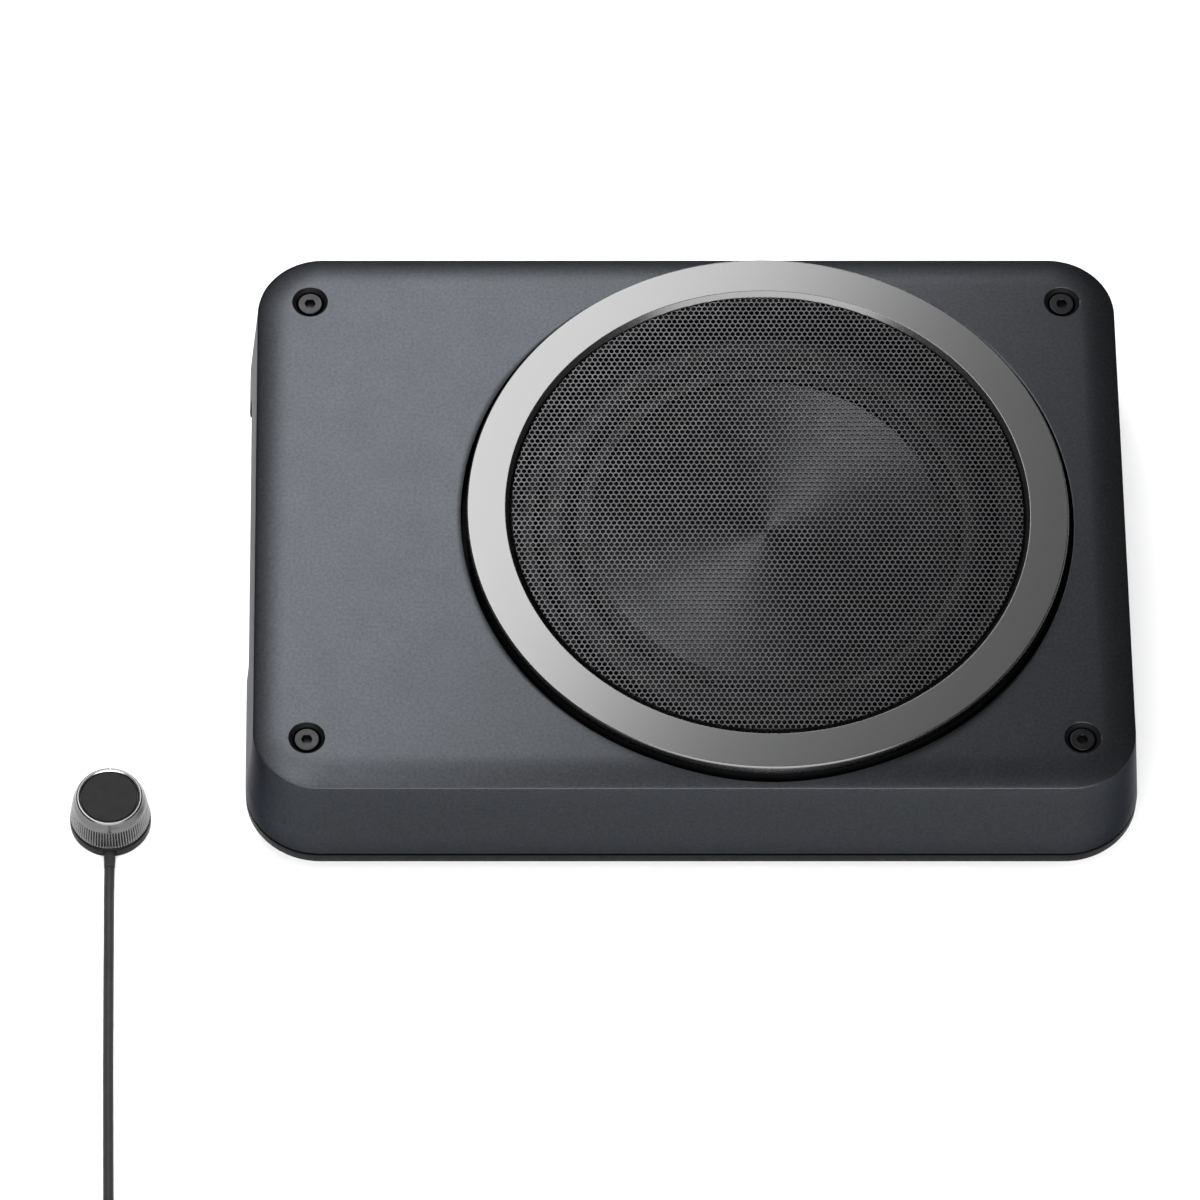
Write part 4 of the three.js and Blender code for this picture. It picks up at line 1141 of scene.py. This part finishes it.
def make_trimmer(node, body):
    """A small knob with a serrated rim and a pale pointer groove."""
    y = middle_of(node)[0]

    def serrate(verts):
        r = np.hypot(verts[:, 0], verts[:, 1])
        angle = np.arctan2(verts[:, 1], verts[:, 0])
        on_rim = (r > 4.2) & (verts[:, 2] > 0.8) & (verts[:, 2] < 6.3)
        scale = np.where(on_rim, 1 - 0.045 * (0.5 + 0.5 * np.cos(angle * 24)), 1)
        return verts * np.stack([scale, scale, np.ones_like(scale)], 1)

    profile = [(0, -5), (2.8, -5), (2.8, 0.3), (4.4, 0.3), (4.4, 1), (4.4, 3.5), (4.4, 6.2), (3.9, 6.8),
               (3.6, 7), (0, 7)]

    def pick(centres):
        in_groove = (np.abs(centres[:, 1] - y) < 0.5) & (centres[:, 2] > PANEL_Z - 0.3)
        out = PANEL_X - centres[:, 0]
        return np.where(in_groove & (out > 6.0) & (out < 6.9), 1, 0)

    shape = lathe(rounded(profile, 0.2, 2), 192, on_panel(y), serrate)
    knob = add_piece(node + "_cap", node, shape, [BLACK_FINE, POINTER], body=body)
    carve(knob, panel_box((6.2, 8), y, PANEL_Z + 2.2, 0.9, 4.6, 0.2))
    choose_looks(knob.data, pick)


def make_phase_switch():
    """A ribbed thumb in its slot, and the carriage behind the panel."""
    low, high = node_box("phase_switch")
    shape = panel_box((-3.5, 2.6), THUMB_Y, PANEL_Z, 3.4, 3.2, 0.4)
    thumb = add_piece("phase_thumb", "phase_switch", shape, SWITCH_GREY, body="phase_slider")
    carve(thumb, *[panel_box((2.2, 3.2), THUMB_Y + d, PANEL_Z, 0.35, 4, 0) for d in (-0.9, 0, 0.9)])
    add_piece("phase_carriage", "phase_switch", box_mesh((high[0] - 1.5, low[1], low[2]), high, 0.2),
              BLACK_FINE, body="phase_slider")


def make_fuse():
    y, z = middle_of("fuse")[0], FUSE_Z
    shape = panel_box((0.3, 8.6), y, z, 19, 5.1, 0.7)
    body = add_piece("fuse_body", "fuse", shape, FUSE_BLUE, "fuse_plastic")
    windows = [panel_box((8.1, 9.5), y + d, z, 4, 1.8, 0.3) for d in (-6, 6)]
    carve(body, *windows, panel_box((1.5, 5), y, z + 2.9, 12, 1.4, 0.3))
    blades = [panel_box((-9, 1), y + d, z, 5, 0.8, 0.2) for d in (-5, 5)]
    add_piece("fuse_blades", "fuse", merged(*blades), CONTACT, "steel")


make_bay_panel()
make_socket("power_socket", 6, 10, ((-6, -2, 2, 6), 7, 0.8, 4))
make_socket("input_socket", 3, 10, ((-4.5, -1.5, 1.5, 4.5), 5, 0.8, 0.8))
make_socket("remote_jack", 1, 14, ((-2.4, -0.8, 0.8, 2.4), 2, 0.6, 0.6))
make_rca_jack("rca_jack_right", JACK_RED)
make_rca_jack("rca_jack_left", JACK_WHITE)
make_trimmer("gain_knob", "gain_control")
make_trimmer("lowpass_knob", "lowpass_control")
make_phase_switch()
make_fuse()


# ---- remote bass control -------------------------------------

ON_REMOTE = at(*REMOTE)
REMOTE_RADIUS = 15.7
KNOB_LOW, KNOB_HIGH = 6.6, 20.6
KNURL_LOW, KNURL_HIGH = 7.3, 16.4
GROOVES = 84


def make_remote_base():
    top = base_high[2]
    base = turned_piece(
        "bass_base", "remote_base",
        [(REMOTE_RADIUS - 2, 0.9), (REMOTE_RADIUS - 0.6, 0.9), (REMOTE_RADIUS, 1.5),
         (REMOTE_RADIUS, top - 0.6), (REMOTE_RADIUS - 0.6, top), (3.6, top), (3.6, top - 1.2),
         (REMOTE_RADIUS - 2, top - 1.2)],
        BASE_BLACK, "black_plastic", ON_REMOTE, 160, 0.3)
    x, y = REMOTE
    notch = box_mesh((x - 2.4, y - REMOTE_RADIUS - 1, -2), (x + 2.4, y - REMOTE_RADIUS + 3, 5.1), 0)
    carve(base, notch)
    turned_piece("bass_pad", "remote_pad", [(0, 0), (15, 0), (15, 0.6), (0, 0.6)], RUBBER, "rubber",
                 ON_REMOTE, 96, 0.15)


def make_bass_knob():
    """A turned knob: a polished rim round the cap, a satin shoulder and a knurled skirt."""

    def knurl(verts):
        r = np.hypot(verts[:, 0], verts[:, 1])
        angle = np.arctan2(verts[:, 1], verts[:, 0])
        depth = 0.6 * np.clip((verts[:, 2] - KNURL_LOW) / 0.5, 0, 1)
        depth *= np.clip((KNURL_HIGH - verts[:, 2]) / 0.7, 0, 1) * (r > 13.6)
        wave = (0.5 - 0.5 * np.cos(angle * GROOVES)) ** 2
        scale = 1 - depth * wave / np.maximum(r, 1)
        return verts * np.stack([scale, scale, np.ones_like(scale)], 1)

    outer = [(15.0, KNOB_LOW), (15.5, KNOB_LOW + 0.5)]
    skirt = [(15.5 - 1.2 * k / 10, 7.1 + 9.5 * k / 10) for k in range(1, 11)]
    shoulder = [(14.22, 16.9), (14.05, 17.5), (13.75, 18.2), (13.35, 19.0), (12.98, 19.8), (12.86, 20.25),
                (12.6, 20.55), (12.3, KNOB_HIGH), (11.8, KNOB_HIGH), (11.45, 20.3), (11.2, 19.6),
                (11.2, 19.4)]
    inside = [(0, 19.4), (0, 17), (3.3, 17), (3.3, 14.5), (5.5, 14.5), (5.5, 8.5), (13.4, 8.5),
              (13.4, KNOB_LOW)]

    def pick(centres):
        r = np.hypot(centres[:, 0] - REMOTE[0], centres[:, 1] - REMOTE[1])
        on_rim = (centres[:, 2] > 19.9) & (r > 11.3) & (r < 12.0)
        on_floor = (centres[:, 2] > 19) & (r < 11.15)
        return np.where(on_rim, 1, np.where(on_floor, 2, 0))

    shape = lathe(inside + outer + skirt + shoulder, GROOVES * 8, ON_REMOTE, knurl)
    add_piece("bass_knob", "remote_knob", shape, [KNOB_METAL, KNOB_RIM, BLACK_FINE], "knob_metal",
              "bass_control", pick=pick, sharp=50)
    x, y = REMOTE
    shape = box_mesh((x - 0.75, y + 13.2, 16.4), (x + 0.75, y + 14.9, 18), 0.35, 3)
    add_piece("bass_pointer", "remote_knob", shape, KNOB_RIM, "knob_metal", "bass_control")
    turned_piece("bass_cap", "knob_cap", [(0, 19.7), (11, 19.7), (11, 20.2), (10.7, 20.3), (0, 20.3)],
                 CAP_BLACK, "black_plastic", ON_REMOTE, 160, 0.15, body="bass_control")


def make_relief():
    """The cord's tapered, ribbed relief, out along -Y."""
    length = relief_high[1] - relief_low[1]
    start = (REMOTE[0], relief_high[1], 3)
    profile = [(0, 0), (2.1, 0), (2.1, length - 5)]
    for k in range(5):
        z = length - 5 + k
        r = 2.3 - 0.04 * k
        profile += [(r, z), (r, z + 0.62), (r - 0.16, z + 0.68), (r - 0.18, z + 0.95)]
    profile += [(2.1, length), (0, length)]
    matrix = Matrix(((1, 0, 0, start[0]), (0, 0, -1, start[1]), (0, 1, 0, start[2]), (0, 0, 0, 1)))
    turned_piece("cord_boot", "cord_relief", profile, cord.data.materials[0], "rubber", matrix, 64, 0.12)


def make_plug_and_tie():
    low, high = node_box("cord_plug")
    y = (low[1] + high[1]) / 2
    shape = box_mesh(low, (high[0], high[1], low[2] + PLUG_BODY_HEIGHT), 0.7, 3)
    plug = add_piece("plug_body", "cord_plug", shape, PLUG_PLASTIC)
    slots = [box_mesh((high[0] - 4, y + d - 0.3, low[2] - 1), (high[0] + 1, y + d + 0.3, low[2] + 3.4), 0)
             for d in (-2.7, -0.9, 0.9, 2.7)]
    carve(plug, *slots)
    shape = box_mesh((low[0] + 0.2, y - 1.6, low[2] + 6.2), (high[0] - 2.2, y + 1.6, high[2]), 0.4)
    add_piece("plug_latch", "cord_plug", shape, PLUG_PLASTIC)
    low, high = node_box("cord_tie")
    tie = add_piece("tie_strap", "cord_tie", box_mesh(low, high, 0.9, 3), RUBBER, "rubber")
    carve(tie, box_mesh(low + (0.5, -1, 0.5), high - (0.5, -1, 0.5), 0.4, 2))


make_remote_base()
make_bass_knob()
make_relief()
make_plug_and_tie()


# ---- pieces that keep their CAD shape ------------------------

INNER_LOOKS = {
    FOAM: ["cover_gasket", "basket_gasket"],
    BASKET_STEEL: ["basket"],
    ALUMINIUM: ["coil_former", "heat_sink", "pot_shaft"],
    COPPER: ["voice_coil", "choke_coil"],
    STEEL: ["front_plate", "yoke", "remote_pot"],
    FERRITE: ["magnet"],
    SCREW_BLACK: [f"driver_screw_{n}" for n in range(1, 5)],
    BLACK_FINE: ["driver_terminal"],
    BOARD: ["amplifier_board"],
    EPOXY: ["power_transistor_1", "power_transistor_2"],
    SLEEVE: ["capacitor_1", "capacitor_2", "capacitor_3"],
}


def dress_inner_pieces():
    for look, names in INNER_LOOKS.items():
        for name in names:
            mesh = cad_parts[name].data
            mesh.materials.clear()
            mesh.materials.append(look)
            shade(mesh, 35)


dress_inner_pieces()


# ---- which light touches what --------------------------------


def link_lights():
    """The brushed cone has a light of its own, and the floor one that casts no shadows."""
    links = (("cone_light", "cone_plate", "INCLUDE"), ("softbox_left", "cone_plate", "EXCLUDE"),
             ("softbox_front", "cone_plate", "EXCLUDE"), ("front_fill", "cone_plate", "EXCLUDE"),
             ("floor_fill", "floor", "INCLUDE"))
    for light, receiver, state in links:
        receivers = bpy.data.collections.new(light + "_receivers")
        receivers.objects.link(bpy.data.objects[receiver])
        receivers.collection_objects[0].light_linking.link_state = state
        bpy.data.objects[light].light_linking.receiver_collection = receivers


link_lights()
